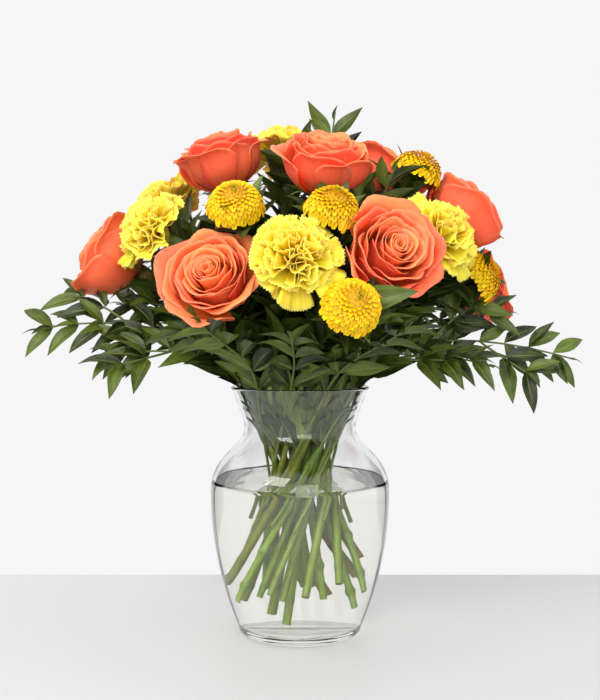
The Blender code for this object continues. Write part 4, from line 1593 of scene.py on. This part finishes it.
@dataclass(frozen=True)
class Stage:
    """The pale table, the white backdrop, the lamps and the camera."""

    table_back: float = 0.165
    table_reach: float = 6.0
    screen_distance: float = 0.70
    screen_height: float = 0.8
    screen_angles: tuple[float, float] = (math.radians(42), math.radians(70))  # from straight back
    camera_distance: float = 0.7656
    camera_height: float = 0.250
    camera_tilt: float = math.radians(1.53)
    lens: float = 48.1

    def camera(self) -> None:
        """Sets the camera in front of the bouquet."""
        data = bpy.data.cameras.new("camera")
        data.lens = self.lens
        data.sensor_width = 36.0
        data.clip_start = 0.01
        camera = object_of(data, "camera")
        camera.location = (0.0, -self.camera_distance, self.camera_height)
        camera.rotation_euler = (math.pi / 2 - self.camera_tilt, 0.0, 0.0)
        bpy.context.scene.camera = camera

    def table(self, bench: Bench) -> None:
        """Builds the table top."""
        reach, back = self.table_reach, self.table_back
        corners = [(-reach, -reach, 0), (reach, -reach, 0), (reach, back, 0), (-reach, back, 0)]
        table = bench.dressed(mesh_of("table", corners, faces=[(0, 1, 2, 3)]), "table", "table")

    def screens(self, bench: Bench) -> None:
        """Stands dark screens behind the table, which only show as dark lines in the glass."""
        half = self.screen_height / 2
        for side in (-1, 1):
            near, far = (
                (side * self.screen_distance * math.sin(a), self.screen_distance * math.cos(a))
                for a in self.screen_angles
            )
            corners = [(*near, -half), (*far, -half), (*far, half), (*near, half)]
            mesh = mesh_of("screen", corners, faces=[(0, 1, 2, 3)])
            screen = bench.dressed(mesh, "screen", "screen")
            screen.visible_camera = False
            screen.visible_diffuse = False
            screen.visible_shadow = False

    def lamp(
        self, name: str, place: Vector, aim: Vector, size: float, power: float, tint: tuple[float, ...]
    ) -> None:
        """Adds a square soft lamp.

        Args:
            name: Its name.
            place: Where it stands.
            aim: What it points at.
            size: Its side.
            power: Its power in watts.
            tint: Its colour.
        """
        data = bpy.data.lights.new(name, "AREA")
        data.size = size
        data.energy = power
        data.color = tint
        lamp = object_of(data, name)
        lamp.location = place
        lamp.rotation_mode = "QUATERNION"
        lamp.rotation_quaternion = (aim - place).to_track_quat("-Z", "Y")
        lamp.visible_transmission = False

    def light(self) -> None:
        """Sets the lamps and the white surroundings."""
        aim = Vector((0.0, 0.0, 0.22))
        self.lamp("key", Vector((-0.9, -1.3, 1.5)), aim, 0.9, 24.0, (1.0, 0.985, 0.96))
        self.lamp("fill", Vector((0.4, -2.6, 1.1)), aim, 1.4, 27.0, (1.0, 0.99, 0.97))
        world = bpy.data.worlds.new("studio")
        world.use_nodes = True
        background = world.node_tree.nodes["Background"]
        background.inputs["Color"].default_value = srgb(246, 246, 247)
        background.inputs["Strength"].default_value = 1.0
        bpy.context.scene.world = world
        bpy.context.scene.view_settings.view_transform = "Standard"


# --- The bouquet ----------------------------------------------------------------------------


def painted(kind: type, name: str, colours: Sequence[tuple[int, int, int]], **numbers: float) -> Any:
    """A finish from its screen colours, in the order of its fields, and its numbers.

    Args:
        kind: The finish's class.
        name: Its name.
        colours: Its colours, 0 to 255 a channel.
        **numbers: Its numbers.

    Returns:
        The finish.
    """
    return kind(name, *(srgb(*colour) for colour in colours), **numbers)


def finishes(water_level: float) -> dict[str, bpy.types.Material]:
    """The materials of the bouquet by name.

    Args:
        water_level: The height of the water's surface.

    Returns:
        The materials.
    """
    petals = {  # foot, lip, heart, reverse and edge
        # The rose's heart and edge colours are partly painted light: a lighter heart against the shade
        # between its furled petals, and a painted sheen on its rolled lips.
        "rose_petal": [(255, 158, 60), (254, 126, 78), (255, 160, 88), (250, 96, 68), (255, 152, 116)],
        "carnation_petal": [(222, 190, 24), (244, 220, 62), (242, 206, 34), (244, 222, 84), (250, 234, 126)],
        "button_petal": [(222, 154, 0), (242, 198, 0), (160, 158, 24), (238, 188, 0), (248, 212, 8)],
    }
    numbers = {
        "rose_petal": {"roughness": 0.55, "vein_depth": 0.00022, "heart_reach": 0.75, "glow": 0.5},
        "carnation_petal": {"roughness": 0.6, "vein_depth": 0.00020},
        "button_petal": {"roughness": 0.5, "vein_depth": 0.00010, "heart_reach": 0.05},
    }
    leaves = {  # dark, light and rib, then roughness
        "ruscus_leaf": ([(24, 36, 8), (100, 120, 40), (122, 142, 68)], 0.42),
        "sepal": ([(66, 92, 34), (120, 146, 66), (140, 160, 90)], 0.5),
    }
    stems = {  # above the water, below it and brown, then browning
        "rose_stem": ([(96, 116, 44), (100, 124, 8), (128, 92, 48)], 0.9),
        "carnation_stem": ([(118, 142, 92), (108, 136, 26), (120, 116, 60)], 0.1),
        "button_stem": ([(104, 128, 60), (98, 126, 12), (118, 104, 52)], 0.35),
        "twig": ([(84, 104, 44), (92, 116, 26), (104, 92, 48)], 0.3),
    }
    found = [painted(PetalFinish, name, colours, **numbers[name]) for name, colours in petals.items()]
    for name, (colours, roughness) in leaves.items():
        found.append(painted(LeafFinish, name, colours, roughness=roughness))
    for name, (colours, browning) in stems.items():
        found.append(painted(StemFinish, name, colours, water_level=water_level, browning=browning))
    found += [
        PlainFinish("button_core", srgb(212, 164, 2), 0.6),
        PlainFinish("screen", srgb(26, 22, 24), 0.9),
        PlainFinish("table", srgb(209, 209, 210), 0.55),
        ClearFinish("clear_glass", (0.972, 0.976, 0.974, 1.0), 1.5, 0.93),
        ClearFinish("water", (0.95, 0.95, 0.885, 1.0), 1.33, 0.97),
    ]
    return {finish.name: finish.material() for finish in found}


def flowers(frame: dict[str, Any]) -> Iterable[tuple[Species, str, int]]:
    """Each flower of the frame, as its species, its name and a seed of its own."""
    for order, node in enumerate(sorted(n for n in frame["nodes"] if n.endswith("_bloom"))):
        flower = node.removesuffix("_bloom")
        species = next(s for s in Species if flower.startswith(s.word))
        yield species, flower, 11 + 7 * order


def build_flowers(bench: Bench, leaf: bpy.types.Object) -> None:
    """Builds every bloom with its stem, collar and leaves."""
    floret = blade_mesh("floret", rows=4, columns=2, point=0.0, arch=0.12, fold=0.35)
    floret = bench.shape(floret, "floret_shape")
    sepal = blade_mesh("sepal", rows=5, columns=2, point=1.0, arch=0.22, fold=0.12)
    sepal = bench.shape(sepal, "sepal_shape")
    for species, flower, seed in flowers(bench.frame):
        seat = Seat.of(bench.frame, flower)
        slot = species.word + "_petal"
        if species is not Species.BUTTON:
            kind = Rose if species is Species.ROSE else Carnation
            bloom = kind(flower, seat, seed).build(bench)
        else:
            button = Button(flower, seat, seed)
            bloom = button.build(bench, floret)
            bench.kept(button.core(bench), slot)
        bench.kept(bloom, slot, flower + "_bloom")
        stem = FlowerStem(flower, species, seed)
        bench.kept(stem.build(bench), "stem_green", flower + "_stem")
        bench.kept(stem.collar(bench, seat, sepal), "stem_green")
        bench.kept(stem.foliage(bench, leaf), "ruscus_green")


def build_sprigs(bench: Bench, leaf: bpy.types.Object, inner: Sequence[tuple[float, float]]) -> None:
    """Builds every ruscus sprig, for a vase with that inner wall."""
    for order, node in enumerate(sorted(n for n in bench.frame["nodes"] if n.startswith("ruscus"))):
        for piece in Sprig(node, 300 + order).build(bench, leaf, inner):
            bench.kept(piece, "ruscus_green", node)


def build_vase(bench: Bench) -> Vase:
    """Builds the glass and the water."""
    vase = Vase()
    vase.read(bench.frame)
    bench.kept(vase.glass(bench), "clear_glass", "vase")
    bench.kept(vase.water(bench), "water", "water")
    return vase


def main() -> None:
    logging.basicConfig(level=logging.INFO, format="%(message)s")
    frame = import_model()
    stage = Stage()
    stage.camera()
    bench = Bench(frame, TubeTree(), ScatterTree(), finishes(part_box("water")[1][2]))
    stage.table(bench)
    stage.screens(bench)
    stage.light()
    vase = build_vase(bench)
    leaf = blade_mesh("leaf", rows=8, columns=4, point=1.0, arch=0.11, fold=0.14)
    leaf = bench.shape(leaf, "leaf_shape")
    build_flowers(bench, leaf)
    build_sprigs(bench, leaf, vase.inner[:-1])
    for shape in bench.shapes:
        bpy.data.objects.remove(shape)


if __name__ == "__main__":
    main()
